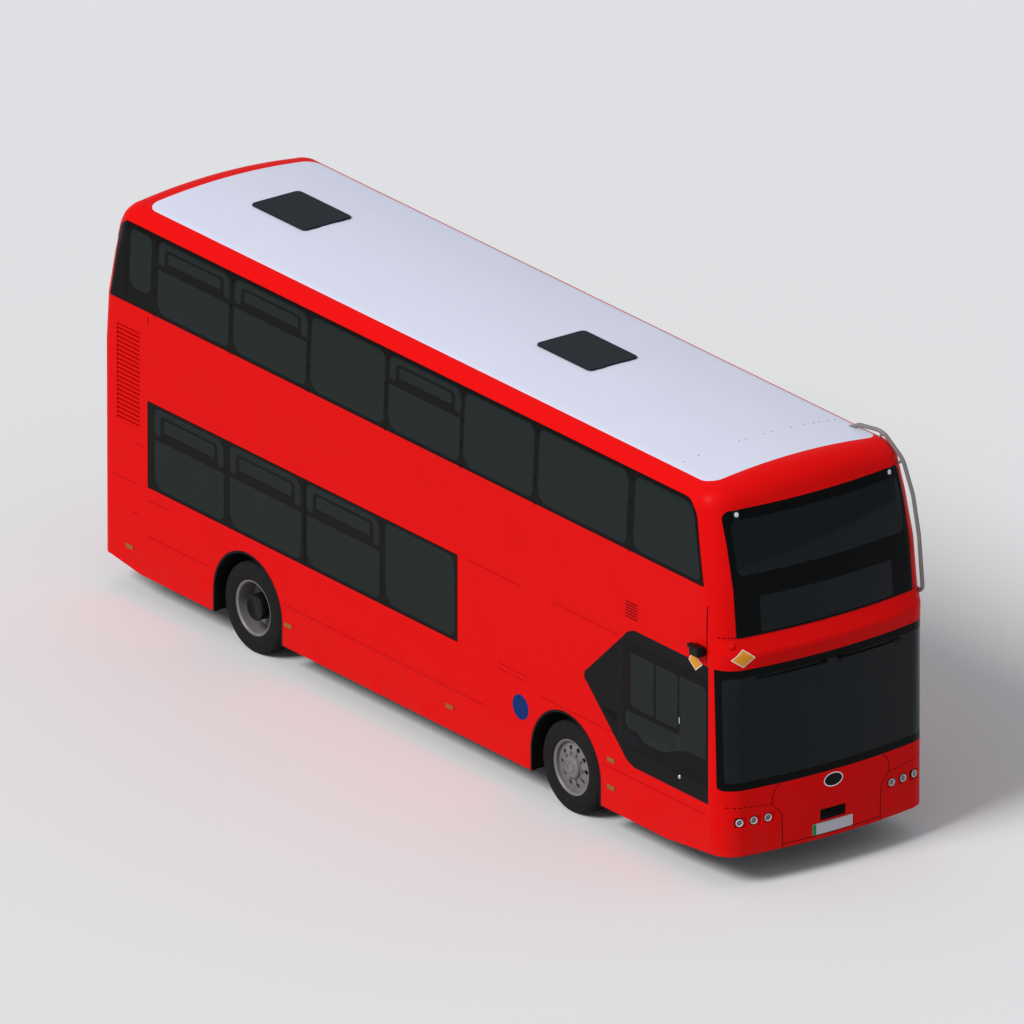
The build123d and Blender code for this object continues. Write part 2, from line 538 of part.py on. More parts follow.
BOX_REACH = ARCH_R + BOX_CLEAR + LINER_T + SEAT
low_z = (FLOOR_Z - FLOOR_T, FLOOR_Z)
raised_z = (REAR_FLOOR_Z - FLOOR_T, REAR_FLOOR_Z)
panels = [block((REAR_STEP_X + SEAT, FLOOR_FRONT_X), (-LINER_IN_FRONT + SEAT, LINER_IN_FRONT - SEAT), low_z),
          block((FLOOR_REAR_X, REAR_STEP_X), (-LINER_IN_REAR + SEAT, LINER_IN_REAR - SEAT), raised_z),
          block((REAR_STEP_X - FLOOR_T, REAR_STEP_X), (-FLOOR_HALF, FLOOR_HALF), (low_z[0], raised_z[0] - SEAT))]
for side in (1, -1):
    edge = (side * LINER_IN_FRONT, side * FLOOR_HALF)
    rear_edge = (side * LINER_IN_REAR, side * FLOOR_HALF)
    panels += [block((REAR_STEP_X + SEAT, FRONT_AXLE_X - BOX_REACH), edge, low_z),
               block((FRONT_AXLE_X + BOX_REACH, FLOOR_FRONT_X), edge, low_z),
               block((FLOOR_REAR_X, REAR_AXLE_X - BOX_REACH), rear_edge, raised_z)]
    panels.append(block((REAR_AXLE_X + BOX_REACH, REAR_STEP_X), rear_edge, raised_z))
save("lower_floor", Compound([p.solid() for p in panels]))

# staircase: rises towards the front, over the offside front wheel box
STAIR_X = (940.0, 2780.0)
STAIR_Y = (-1180.0, -560.0)
RISERS = 9
rise = (DECK_Z - FLOOR_Z) / RISERS
going = (STAIR_X[1] - STAIR_X[0]) / (RISERS - 1)
WELL_X = (STAIR_X[0] - 150, STAIR_X[1] + 60)    # opening in the upper floor over the stairs
DECK_FRONT_X = 4700.0
deck_x = (UPPER_REAR_X - 100, DECK_FRONT_X)
deck_form = upper_form(WALL + SEAT)
deck_z = (DECK_Z - DECK_T, DECK_Z)
upper_floor = [deck_form & block((deck_x[0], WELL_X[0]), ACROSS, deck_z),
               deck_form & block((WELL_X[0] + SEAT, WELL_X[1] - SEAT), (STAIR_Y[1] + 32, HALF), deck_z),
               deck_form & block((WELL_X[1], deck_x[1]), ACROSS, deck_z)]
save("upper_floor", Compound([p.solid() for p in upper_floor]))
STEP_T = 35.0
NOSING = 20.0               # how far a tread runs over the next riser
STRING_T = 25.0
STRING_RISE = 60.0          # top of the string above the upper floor
stair = None
for i in range(RISERS - 1):
    x0 = STAIR_X[0] + going * i
    top = FLOOR_Z + rise * (i + 1)
    tread = block((x0, x0 + going + NOSING), STAIR_Y, (top - STEP_T, top))
    face = block((x0, x0 + NOSING), STAIR_Y, (top - rise + SEAT, top))
    step = tread + face
    stair = step if stair is None else stair + step
string = make_face(Polyline((STAIR_X[0], FLOOR_Z + SEAT), (STAIR_X[0], FLOOR_Z + rise + 80),
                            (STAIR_X[1] - NOSING, DECK_Z + STRING_RISE), (STAIR_X[1] + NOSING, DECK_Z + STRING_RISE),
                            (STAIR_X[1] + NOSING, DECK_Z - rise - STEP_T),
                            (STAIR_X[0] + 320, FLOOR_Z + SEAT), close=True))
stair += side_prism(string, -1, -STAIR_Y[1] - STRING_T, -STAIR_Y[1])
stair -= side_prism(arch_face(FRONT_AXLE_X, ARCH_R + 4 + LINER_T, ARCH_TOP_Z + 4 + LINER_T, 0), -1, 400, HALF)
save("staircase", stair)

# ---------------------------------------------------------------- bulkheads
BULKHEAD_X = -4470.0
CAB_BACK_X = 3400.0
CAB_SIDE_Y = -190.0
PARTITION_T = 30.0
PARTITION_FRONT_X = 4500.0
PARTITION_SIGHT = dict(x=(3440.0, 4420.0), z=(1250.0, 2100.0))
UNDER_DECK_Z = DECK_Z - DECK_T - SEAT
cab_z = (FLOOR_Z + SEAT, UNDER_DECK_Z)
bulk = block((BULKHEAD_X - PARTITION_T, BULKHEAD_X), (-FLOOR_HALF, FLOOR_HALF), (REAR_FLOOR_Z + SEAT, UNDER_DECK_Z))
partition = block((CAB_BACK_X - PARTITION_T, CAB_BACK_X), (-FLOOR_HALF, CAB_SIDE_Y), cab_z)
partition += block((CAB_BACK_X - PARTITION_T, PARTITION_FRONT_X), (CAB_SIDE_Y - PARTITION_T, CAB_SIDE_Y), cab_z)
partition -= block(PARTITION_SIGHT["x"], (CAB_SIDE_Y - 80, CAB_SIDE_Y + 50), PARTITION_SIGHT["z"])
save("rear_bulkhead", bulk)
save("cab_partition", partition)
BATTERY = dict(x=(-5020.0, -4540.0), half=1040.0, z=(REAR_FLOOR_Z + SEAT, 2150.0))
save("battery_pack", block(BATTERY["x"], (-BATTERY["half"], BATTERY["half"]), BATTERY["z"]))

# ---------------------------------------------------------------- seats
SEAT_W = 880.0
SEAT_FOOT = dict(x=(150.0, 260.0), half=130.0)
CUSHION = dict(depth=420.0, t=90.0, height=450.0)
BACK = dict(height=640.0, t=80.0, rake=70.0)
SEAT_Y = HALF - WALL - 20 - SEAT_W / 2


def seat_pair(x, y, base, lift):
    """Cushion, back and foot of a double seat facing forward; x is its back's foot and base the floor under it."""
    top = base + lift
    across = (y - SEAT_W / 2, y + SEAT_W / 2)
    foot_z = top + SEAT
    outline = Polyline((x, foot_z), (x + BACK["t"], foot_z), (x + BACK["t"] - BACK["rake"], top + BACK["height"]),
                       (x - BACK["rake"], top + BACK["height"]), close=True)
    back = extrude(Pos(0, across[1], 0) * (Plane.XZ * make_face(outline)), amount=SEAT_W, dir=(0, -1, 0))
    pieces = [block((x, x + CUSHION["depth"]), across, (top - CUSHION["t"], top)), back]
    if lift > CUSHION["t"]:
        pieces.append(block((x + SEAT_FOOT["x"][0], x + SEAT_FOOT["x"][1]), (y - SEAT_FOOT["half"], y + SEAT_FOOT["half"]),
                            (base + SEAT, top - CUSHION["t"] - SEAT)))
    return [p.solid() for p in pieces]


BOX_TOP = ARCH_TOP_Z + BOX_CLEAR + LINER_T + SEAT
# lower deck seats: x, side, base, height of the cushion above it
LOWER_SEATS = [(-4360, 1, REAR_FLOOR_Z, 450), (-4360, -1, REAR_FLOOR_Z, 450),
               (-2960, 1, BOX_TOP, 90), (-2960, -1, BOX_TOP, 90),
               (-2080, 1, FLOOR_Z, 450), (-2080, -1, FLOOR_Z, 450), (-1310, -1, FLOOR_Z, 450),
               (-540, -1, FLOOR_Z, 450), (230, -1, FLOOR_Z, 450), (2330, 1, BOX_TOP, 90), (1420, 1, FLOOR_Z, 450)]
lower_seats = [seat_pair(x, side * SEAT_Y, base, lift) for x, side, base, lift in LOWER_SEATS]
save("seats_lower", Compound([piece for seat in lower_seats for piece in seat]))
UPPER_PITCH = 775.0
UPPER_ROWS = 11
UPPER_FIRST_X = -4560.0
UPPER_SEAT_Y = SEAT_Y - 20
upper_seats = []
for row in range(UPPER_ROWS):
    x = UPPER_FIRST_X + UPPER_PITCH * row
    for side in (1, -1):
        if side > 0 or x + 500 < STAIR_X[0] - 160 or x > STAIR_X[1] + 200:
            upper_seats += seat_pair(x, side * UPPER_SEAT_Y, DECK_Z, CUSHION["height"])
save("seats_upper", Compound(upper_seats))

CAB_Y = -710.0
DRIVER_SEAT = [              # middle x, middle z over the floor, lean in degrees, size
    (3740, 190, 0, (240, 240, 380)),
    (3760, 440, 0, (480, 480, 120)),
    (3520, 800, -8, (90, 460, 760)),
]
CUSHION_EDGE = 35.0
driver = None
for x, z, lean, size in DRIVER_SEAT:
    pad = Box(*size) if driver is None else chamfer(Box(*size).edges(), CUSHION_EDGE)
    pad = Pos(x, CAB_Y, FLOOR_Z + SEAT + z) * Rot(0, lean, 0) * pad
    driver = pad if driver is None else driver + pad
save("driver_seat", driver)
COLUMN = ((4500, CAB_Y, 860), (4330, CAB_Y, 1120))
DASH_FRONT_X = 4980
DASH_WIDTH = 910.0
dash_line = Polyline((4560, FLOOR_Z + SEAT), (4560, 800), (4380, 1010), (4400, 1080), (4620, 1110), (DASH_FRONT_X, 1110),
                     (DASH_FRONT_X, FLOOR_Z + SEAT), close=True)
dash_y = CAB_SIDE_Y - PARTITION_T - SEAT
dash = extrude(Pos(0, dash_y, 0) * (Plane.XZ * make_face(dash_line)), amount=DASH_WIDTH, dir=(0, -1, 0))
dash = dash & lower_form(WALL + 5)
save("dashboard", dash + rod(*COLUMN, 32))
STEER_R = 225.0
STEER_LIFT = 30.0           # grip's plane above the top of the column
SPOKE = (STEER_R, 26.0, 12.0)
wheel_plane = Plane(origin=COLUMN[1], z_dir=(-170, 0, 260))
grip = Pos(STEER_R, 0) * RegularPolygon(15, 8)
steer = wheel_plane * Pos(0, 0, STEER_LIFT) * revolve(Plane.XZ * grip, Axis.Z)
steer += wheel_plane * Pos(0, 0, 20) * Cylinder(45, 38)
for angle in (0, 120, 240):
    steer += wheel_plane * Rot(0, 0, angle) * Pos(STEER_R / 2, 0, STEER_LIFT) * Box(*SPOKE)
save("steering_wheel", steer)

# ---------------------------------------------------------------- grab poles
POLE_R = 17.0
POLES = [(3150, 520), (1300, 560), (-980, 560), (820, -520), (820, 520), (-2060, -300)]
poles = [rod((x, y, FLOOR_Z + SEAT), (x, y, DECK_Z - DECK_T - SEAT), POLE_R).solid() for x, y in POLES]
save("grab_poles", Compound(poles))

# ---------------------------------------------------------------- underframe and axles
RAIL_Y = 450.0
RAIL_W = 90.0
RAIL_Z = (235.0, FLOOR_Z - FLOOR_T - SEAT)
TOW_Z = sum(RAIL_Z) / 2
CROSS_X = [-4800, -3900, -1900, -1000, -100, 800, 1700, 3400, 4300]
CROSS_W = 80.0
OUTRIGGER_END = 1150.0
TOW_R = 16.0
TOW_LENGTH = 90.0
TOW_END_X = 4950.0
JACK_PAD = dict(x=(3400.0, -1900.0), length=140.0, width=80.0, t=12.0)
under = []
inside = RAIL_Y - RAIL_W / 2 - SEAT
outside = RAIL_Y + RAIL_W / 2 + SEAT
for side in (1, -1):
    rail = block((-4900, TOW_END_X), (side * RAIL_Y - RAIL_W / 2, side * RAIL_Y + RAIL_W / 2), RAIL_Z)
    if side > 0:
        rail -= rod((TOW_END_X - TOW_LENGTH, RAIL_Y, TOW_Z), (TOW_END_X + 50, RAIL_Y, TOW_Z), TOW_R)
    for x in JACK_PAD["x"]:
        rail += block((x - JACK_PAD["length"] / 2, x + JACK_PAD["length"] / 2),
                      (side * RAIL_Y - JACK_PAD["width"] / 2, side * RAIL_Y + JACK_PAD["width"] / 2),
                      (RAIL_Z[0] - JACK_PAD["t"], RAIL_Z[0]))
    under.append(rail)
    under += [block((x - CROSS_W / 2, x + CROSS_W / 2), (side * outside, side * OUTRIGGER_END), RAIL_Z) for x in CROSS_X]
under += [block((x - CROSS_W / 2, x + CROSS_W / 2), (-inside, inside), RAIL_Z) for x in CROSS_X]
under += [block((x - CROSS_W / 2, x + CROSS_W / 2), (-inside, inside), (RAIL_Z[1] + SEAT, REAR_FLOOR_Z - FLOOR_T - SEAT))
          for x in CROSS_X[:2]]
under = Compound([u.solid() for u in under])
save("underframe", under)

BEAM_Z = (165.0, 225.0)
KING_Y = WHEEL_Y - KINGPIN_OFFSET
BOSS_R = 46.0
BOSS_H = 110.0
front_axle = block((FRONT_AXLE_X - 55, FRONT_AXLE_X + 55), (-620, 620), BEAM_Z)
for side in (1, -1):
    arm = make_face(Polyline((590, BEAM_Z[0]), (680, BEAM_Z[0]), (KING_Y - 100, TYRE_R - 45), (KING_Y - 25, TYRE_R - 45),
                             (KING_Y - 25, TYRE_R + 45), (KING_Y - 130, TYRE_R + 45), (590, BEAM_Z[1] + 10), close=True))
    swan = extrude(Pos(FRONT_AXLE_X - 40, 0, 0) * (Plane.YZ * arm), amount=80, dir=(1, 0, 0))
    if side < 0:
        swan = mirror(swan, Plane.XZ)
    front_axle += swan
    front_axle += Pos(FRONT_AXLE_X, side * KING_Y, TYRE_R) * Cylinder(BOSS_R, BOSS_H)
    front_axle -= Pos(FRONT_AXLE_X, side * KING_Y, TYRE_R) * Cylinder(KINGPIN_R + RUNNING, BOSS_H + 100)
    front_axle += Pos(FRONT_AXLE_X, side * RAIL_Y, (BEAM_Z[1] + RAIL_Z[0] - SEAT) / 2) * Cylinder(70, RAIL_Z[0] - SEAT - BEAM_Z[1])
save("front_axle", front_axle)

for side, name in ((1, "left"), (-1, "right")):
    y_out = WHEEL_Y + 40
    yoke = Pos(FRONT_AXLE_X, side * KING_Y, TYRE_R) * Cylinder(KINGPIN_R, BOSS_H + 80)
    for up in (1, -1):
        lug_z = TYRE_R + up * (BOSS_H / 2 + 1 + 20)
        yoke += Pos(FRONT_AXLE_X, side * KING_Y, lug_z) * Cylinder(BOSS_R, 40)
        yoke += block((FRONT_AXLE_X - 45, FRONT_AXLE_X + 45), (side * KING_Y, side * (KING_Y + 72)), (lug_z - 20, lug_z + 20))
    yoke += block((FRONT_AXLE_X - 45, FRONT_AXLE_X + 45), (side * (KING_Y + 50), side * (KING_Y + 72)),
                  (TYRE_R - BOSS_H / 2 - 41, TYRE_R + BOSS_H / 2 + 41))
    yoke += rod((FRONT_AXLE_X, side * (KING_Y + 60), TYRE_R), (FRONT_AXLE_X, side * y_out, TYRE_R), STUB_R)
    save(f"knuckle_{name}", yoke)

rear_axle = rod((REAR_AXLE_X, -(LINER_IN_REAR - 12), TYRE_R), (REAR_AXLE_X, LINER_IN_REAR - 12, TYRE_R), 78)
rear_axle += rod((REAR_AXLE_X, -WHEEL_Y - 40, TYRE_R), (REAR_AXLE_X, WHEEL_Y + 40, TYRE_R), STUB_R)
rear_axle += fillet((Pos(REAR_AXLE_X, 0, TYRE_R - 20) * Box(420, 460, 180)).edges(), 30)
for side in (1, -1):
    rear_axle += Pos(REAR_AXLE_X, side * 400, (TYRE_R + REAR_FLOOR_Z - FLOOR_T - SEAT) / 2) * Cylinder(95, REAR_FLOOR_Z - FLOOR_T - SEAT - TYRE_R)
save("rear_axle", rear_axle)


# ---------------------------------------------------------------- wheels
TYRE_SIDES = 48             # flats round a tyre, few enough to stay light
BEAD_IN = 12.0              # bead seat inside the rim's edge
SHOULDER = dict(r=TYRE_R - 24, y=TYRE_W / 2 - 16)
TREAD_EDGE = TYRE_W / 2 - 45
FLANK_LAND = 4.0            # half width of the flat ring on the widest part of the sidewall


def tyre_body():
    """A tyre about Y, hollow for its rim: bead seat, bulged sidewalls, shoulders and tread, all of flats."""
    widest = (RIM_R + SEAT + TYRE_R) / 2
    half = [((RIM_R + SEAT) / cos(pi / TYRE_SIDES), RIM_W / 2 - BEAD_IN), (widest - FLANK_LAND, TYRE_W / 2),
            (widest + FLANK_LAND, TYRE_W / 2), (SHOULDER["r"], SHOULDER["y"]), (TYRE_R, TREAD_EDGE)]
    section = half + [(r, -y) for r, y in reversed(half)]
    turns = [2 * pi * i / TYRE_SIDES for i in range(TYRE_SIDES)]
    rows = [[(r * cos(a), y, r * sin(a)) for r, y in section] for a in turns]
    faces = []
    for i, row in enumerate(rows):
        past = rows[i - 1]
        for k in range(len(section)):
            faces.append(Face(Wire.make_polygon([row[k], row[k - 1], past[k - 1], past[k]])))
    return Solid(Shell(faces))


def ring(points, y):
    """A turned solid about a wheel's axis, from points given as radius and distance outwards."""
    face = make_face(Polyline(*points, close=True))
    return Pos(0, y, 0) * revolve(face, Axis.Y)


def barrel(y):
    """The rim that carries one tyre."""
    w = RIM_W / 2
    half = [(RIM_R - 16, w - 14), (RIM_LIP_R - 8, w), (RIM_LIP_R, w), (RIM_LIP_R, w - 5), (RIM_R, w - 11)]
    return ring(half + [(r, -across) for r, across in reversed(half)], y)


HOLES = 10
HOLE_R = 26.0
HOLE_PITCH_R = 195.0


def hand_holes(disc, y0, y1):
    """Cuts the ring of holes in a wheel disc."""
    for i in range(HOLES):
        angle = radians(360 / HOLES * i)
        x, z = HOLE_PITCH_R * cos(angle), HOLE_PITCH_R * sin(angle)
        disc -= rod((x, y0, z), (x, y1, z), HOLE_R)
    return disc


def front_wheel():
    """Rim, convex disc and hub of a steered wheel, with its axis on Y and its outer face at +Y."""
    disc = [(STUB_R + RUNNING, -18), (150, -18), (150, 66), (235, 52), (RIM_R - 10, 52), (RIM_R - 10, 66), (238, 66),
            (158, 84), (120, 84), (112, 112), (92, 124), (0, 124), (0, 60), (STUB_R + RUNNING, 60)]
    return hand_holes(ring(disc, 0), 30, 100) + barrel(0)


def rear_wheel():
    """Two rims, dished discs and the driven hub, with the outer rim's middle at y = 0."""
    mid = -TWIN_PITCH / 2
    disc = [(STUB_R + RUNNING, mid - 40), (105, mid - 40), (105, mid - 14), (215, mid - 14), (RIM_R - 10, mid - 60),
            (RIM_R - 10, mid - 44), (222, mid), (RIM_R - 10, mid + 44), (RIM_R - 10, mid + 60), (215, mid + 14),
            (125, mid + 14), (118, 40), (96, 62), (0, 62), (0, 50), (STUB_R + RUNNING, 50)]
    return hand_holes(ring(disc, 0), mid - 40, mid + 40) + barrel(0) + barrel(-TWIN_PITCH)


tyre = tyre_body()
WHEELS = [("front_left", FRONT_AXLE_X, 1), ("front_right", FRONT_AXLE_X, -1),
          ("rear_left", REAR_AXLE_X, 1), ("rear_right", REAR_AXLE_X, -1)]
front_set = front_wheel()
rear_set = rear_wheel()
for name, x, side in WHEELS:
    turn = Rot(0, 0, 0) if side > 0 else Rot(0, 0, 180)
    place = Pos(x, side * WHEEL_Y, TYRE_R) * turn
    save(f"rim_{name}", place * (front_set if "front" in name else rear_set))
    tyres = [place * tyre]
    if "rear" in name:
        tyres.append(place * Pos(0, -TWIN_PITCH, 0) * tyre)
    save(f"tyre_{name}", Compound([s for t in tyres for s in t.solids()]))

# ---------------------------------------------------------------- doors
LEAF_FRAME = 55.0
KICK_H = 60.0               # further height of the leaf's foot below its glass
SIGHT_R = 45.0
GLASS_IN = 4.0              # glass inside the leaf's face
LEAF_CLEAR = 8.0            # leaf to floor and header
POST_R = 11.0
leaf_y = (HALF - LEAF_LIP - LEAF_T, HALF - LEAF_LIP)
post_y = sum(leaf_y) / 2
MEETING = 12.0
for name, x0, x1 in DOORS:
    middle = (x0 + x1) / 2
    for leaf, jamb, lead in (("aft", x0 + DOOR_GAP, middle - MEETING / 2), ("fore", x1 - DOOR_GAP, middle + MEETING / 2)):
        z = (FLOOR_Z + LEAF_CLEAR, DOOR_TOP_Z - LEAF_CLEAR)
        x = (min(jamb, lead), max(jamb, lead))
        panel = block(x, leaf_y, z)
        post = [e for e in panel.edges().filter_by(Axis.Z) if abs(e.center().X - jamb) < 1]
        panel = fillet(post, LEAF_T / 2 - 0.5)
        turn_x = jamb + (LEAF_T / 2 if jamb < lead else -LEAF_T / 2)
        panel += rod((turn_x, post_y, FLOOR_Z + SEAT), (turn_x, post_y, DOOR_TOP_Z - SEAT), POST_R)
        sight = ((x[0] + LEAF_FRAME, x[1] - LEAF_FRAME), (z[0] + LEAF_FRAME + KICK_H, z[1] - LEAF_FRAME))
        panel -= side_window(1, *sight, SIGHT_R, HALF - 100, HALF + 10)
        pane = [(low + SEAT, high - SEAT) for low, high in sight]
        face_y = leaf_y[1] - GLASS_IN
        glass = side_window(1, *pane, SIGHT_R - SEAT, face_y - GLASS, face_y)
        save(f"door_{name}_{leaf}", Compound(panel.solids() + glass.solids()))

# ---------------------------------------------------------------- outside fittings
WIPER_Z = 2210.0
WIPER = dict(pivot_y=90.0, tip_y=900.0, stand_off=28.0, sweep_back=62.0, droop=6.0, arm_r=9.0, boss_r=22.0)
wipers = []
for side in (1, -1):
    pivot_y, tip_y = side * WIPER["pivot_y"], side * WIPER["tip_y"]
    x_at = NOSE_X + WIPER["stand_off"]
    arm = rod((x_at, pivot_y, WIPER_Z), (x_at - WIPER["sweep_back"], tip_y, WIPER_Z - WIPER["droop"]), WIPER["arm_r"])
    arm += rod((NOSE_X + SEAT, pivot_y, WIPER_Z), (x_at + 8, pivot_y, WIPER_Z), WIPER["boss_r"])
    wipers.append(arm.solid())
save("wipers", Compound(wipers))

POD = dict(x=(4510.0, 4826.0), z=(2370.0, 2520.0), reach=150.0)
pods = []
for side in (1, -1):
    face = Plane(origin=(sum(POD["x"]) / 2, side * (HALF + SEAT), sum(POD["z"]) / 2), x_dir=(1, 0, 0), z_dir=(0, side, 0))
    near = face * RectangleRounded(POD["x"][1] - POD["x"][0], POD["z"][1] - POD["z"][0], 60)
    far = face.offset(POD["reach"]) * Pos(20, 0) * RectangleRounded(180, 90, 40)
    pods.append(loft([near, far]).solid())
save("camera_pods", Compound(pods))

GUARD_R = 21.0
GUARD_PATH = [(4180, 960, 4110), (4335, 1000, 4185), (4611, 1080, 4185), (4836, 1160, 3935), (4948, 1200, 3585),
              (5021, 1220, 3175), (5061, 1240, 2600), (4920, 1170, 2560)]
GUARD_BENDS = [110.0, 200.0, 300.0, 500.0, 500.0, 60.0]
GUARD_FEET = [((4611, 1080, 4175), (4560, 1000, 4000)), ((4836, 1160, 3925), (4740, 1060, 3850))]
line = FilletPolyline(*GUARD_PATH, radius=GUARD_BENDS)
guard = sweep(Plane(origin=line @ 0, z_dir=line % 0) * Circle(GUARD_R), path=line)
for top, foot in GUARD_FEET:
    guard += rod(top, foot, GUARD_R * 0.7)
guard -= upper_form(-SEAT)
save("tree_guard", guard)
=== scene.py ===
"""Finishes of a full-size double decker city bus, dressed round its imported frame.

Metres, +X towards the front, +Y towards the nearside (doors), +Z up, origin on the ground under the middle.
"""
from __future__ import annotations

import json
import logging
import math
from contextlib import contextmanager
from dataclasses import dataclass
from enum import Enum
from typing import Callable, Iterable, Iterator, Sequence

import bmesh
import bpy
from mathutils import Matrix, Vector

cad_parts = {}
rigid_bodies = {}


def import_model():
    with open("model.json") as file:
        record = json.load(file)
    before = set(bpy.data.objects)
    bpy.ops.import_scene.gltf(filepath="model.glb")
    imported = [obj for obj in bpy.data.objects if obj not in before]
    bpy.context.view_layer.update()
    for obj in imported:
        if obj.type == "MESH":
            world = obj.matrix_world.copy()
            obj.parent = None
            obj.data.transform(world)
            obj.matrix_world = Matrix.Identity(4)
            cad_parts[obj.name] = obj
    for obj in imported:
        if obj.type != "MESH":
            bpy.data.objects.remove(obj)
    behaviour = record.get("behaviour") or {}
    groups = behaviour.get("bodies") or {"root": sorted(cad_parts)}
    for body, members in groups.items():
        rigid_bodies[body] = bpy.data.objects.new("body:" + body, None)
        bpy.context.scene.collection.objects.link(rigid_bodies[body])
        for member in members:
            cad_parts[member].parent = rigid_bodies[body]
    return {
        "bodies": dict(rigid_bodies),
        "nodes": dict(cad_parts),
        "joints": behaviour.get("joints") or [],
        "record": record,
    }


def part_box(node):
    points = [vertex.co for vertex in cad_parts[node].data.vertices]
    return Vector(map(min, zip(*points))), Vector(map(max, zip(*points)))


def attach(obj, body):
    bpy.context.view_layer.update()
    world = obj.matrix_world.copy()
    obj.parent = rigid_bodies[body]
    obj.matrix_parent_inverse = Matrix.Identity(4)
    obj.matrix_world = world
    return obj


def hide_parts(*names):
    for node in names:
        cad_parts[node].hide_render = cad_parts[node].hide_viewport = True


log = logging.getLogger("bus")
Colour = Place = tuple[float, float, float]
Point = tuple[float, float]
Radii = float | Sequence[float]
Height = float | Callable[[float, float], float]
OFFSIDE, NEARSIDE = -1, 1
# How far thin plates stand out of the skin, and their thickness.
BORDER = (0.0008, 0.0006)
JOINT = (0.0012, 0.0008)
STICKER = (0.0014, 0.0008)
# Where plates on a side are cut into rows, because the corners bend there.
TAIL_BENDS = [-5.13 + 0.015 * k for k in range(24)]
FRONT_BENDS = [4.5, 4.58, 4.65, 4.72, 4.77]
HEADLAMP_Y = (0.768, 0.928, 1.087)


# ------------------------------------------------------------------ node trees
class Socket:
    """A node's output with arithmetic: an expression on values adds its Math nodes."""

    def __init__(self, graph: "Graph", socket: bpy.types.NodeSocket) -> None:
        """Wraps one output socket of a graph's node."""
        self.graph = graph
        self.socket = socket

    def math(self, operation: str, *others: "Socket | float") -> "Socket":
        """Adds a Math node whose first value is this socket.

        Args:
            operation: the Math node's operation.
            others: its further values, as sockets or numbers.
        Returns:
            The node's result.
        """
        return self.graph.add("ShaderNodeMath", dict(enumerate((self, *others))), operation=operation)["Value"]

    def __add__(self, other: "Socket | float") -> "Socket":
        """self + other."""
        return self.math("ADD", other)

    __radd__ = __add__

    def __sub__(self, other: "Socket | float") -> "Socket":
        """self - other."""
        return self.math("SUBTRACT", other)

    def __rsub__(self, other: float) -> "Socket":
        """other - self."""
        return self.math("MULTIPLY", -1.0).math("ADD", other)

    def __mul__(self, other: "Socket | float") -> "Socket":
        """self * other."""
        return self.math("MULTIPLY", other)

    __rmul__ = __mul__

    def __truediv__(self, other: "Socket | float") -> "Socket":
        """self / other."""
        return self.math("DIVIDE", other)

    def __lt__(self, other: "Socket | float") -> "Socket":
        """1 where self is smaller."""
        return self.math("LESS_THAN", other)

    def clipped(self, low: float, high: float) -> "Socket":
        """self kept between two numbers."""
        return self.math("MAXIMUM", low).math("MINIMUM", high)

    def ramp(self, start: float, end: float) -> "Socket":
        """0 up to start, 1 from end, and straight between them."""
        return ((self - start) / (end - start)).clipped(0.0, 1.0)


class Made:
    """A node that has been added, with its outputs by name."""

    def __init__(self, graph: "Graph", node: bpy.types.Node) -> None:
        """Wraps a node of a graph."""
        self.graph = graph
        self.node = node

    def __getitem__(self, name: str | int) -> Socket:
        """The output of that name or place."""
        return Socket(self.graph, self.node.outputs[name])


class Graph:
    """A node tree that is filled by calls."""

    def __init__(self, tree: bpy.types.NodeTree) -> None:
        """Wraps a node tree."""
        self.tree = tree

    def add(self, kind: str, values: dict | None = None, **settings: str) -> Made:
        """Adds a node.

        Args:
            kind: the node's type.
            values: what its sockets hold, by name or place: a number, a colour or another node's Socket.
            settings: its own settings, set first.
        Returns:
            The node, wrapped.
        """
        node = self.tree.nodes.new(kind)
        for name, value in settings.items():
            setattr(node, name, value)
        for name, value in (values or {}).items():
            target = node.inputs[name]
            if isinstance(value, Socket):
                self.tree.links.new(value.socket, target)
            elif isinstance(value, tuple) and len(value) == 3 and target.type == "RGBA":
                target.default_value = (*value, 1.0)
            else:
                target.default_value = value
        return Made(self, node)

    def mix(self, factor: Socket | float, first: Socket | Colour, second: Socket | Colour) -> Socket:
        """One colour fading into another."""
        return self.add("ShaderNodeMix", {0: factor, 6: first, 7: second}, data_type="RGBA")[2]

    def parts(self, vector: Socket) -> Made:
        """A vector's X, Y and Z."""
        return self.add("ShaderNodeSeparateXYZ", {0: vector})

    def noise(self, place: Socket, scale: float, detail: float = 3.0) -> Socket:
        """A soft random value from 0 to 1 at a place."""
        return self.add("ShaderNodeTexNoise", {"Vector": place, "Scale": scale, "Detail": detail})["Fac"]


# ------------------------------------------------------------------ finishes
COAT_ROUGHNESS = 0.08
BUMP_DEPTH = 0.002


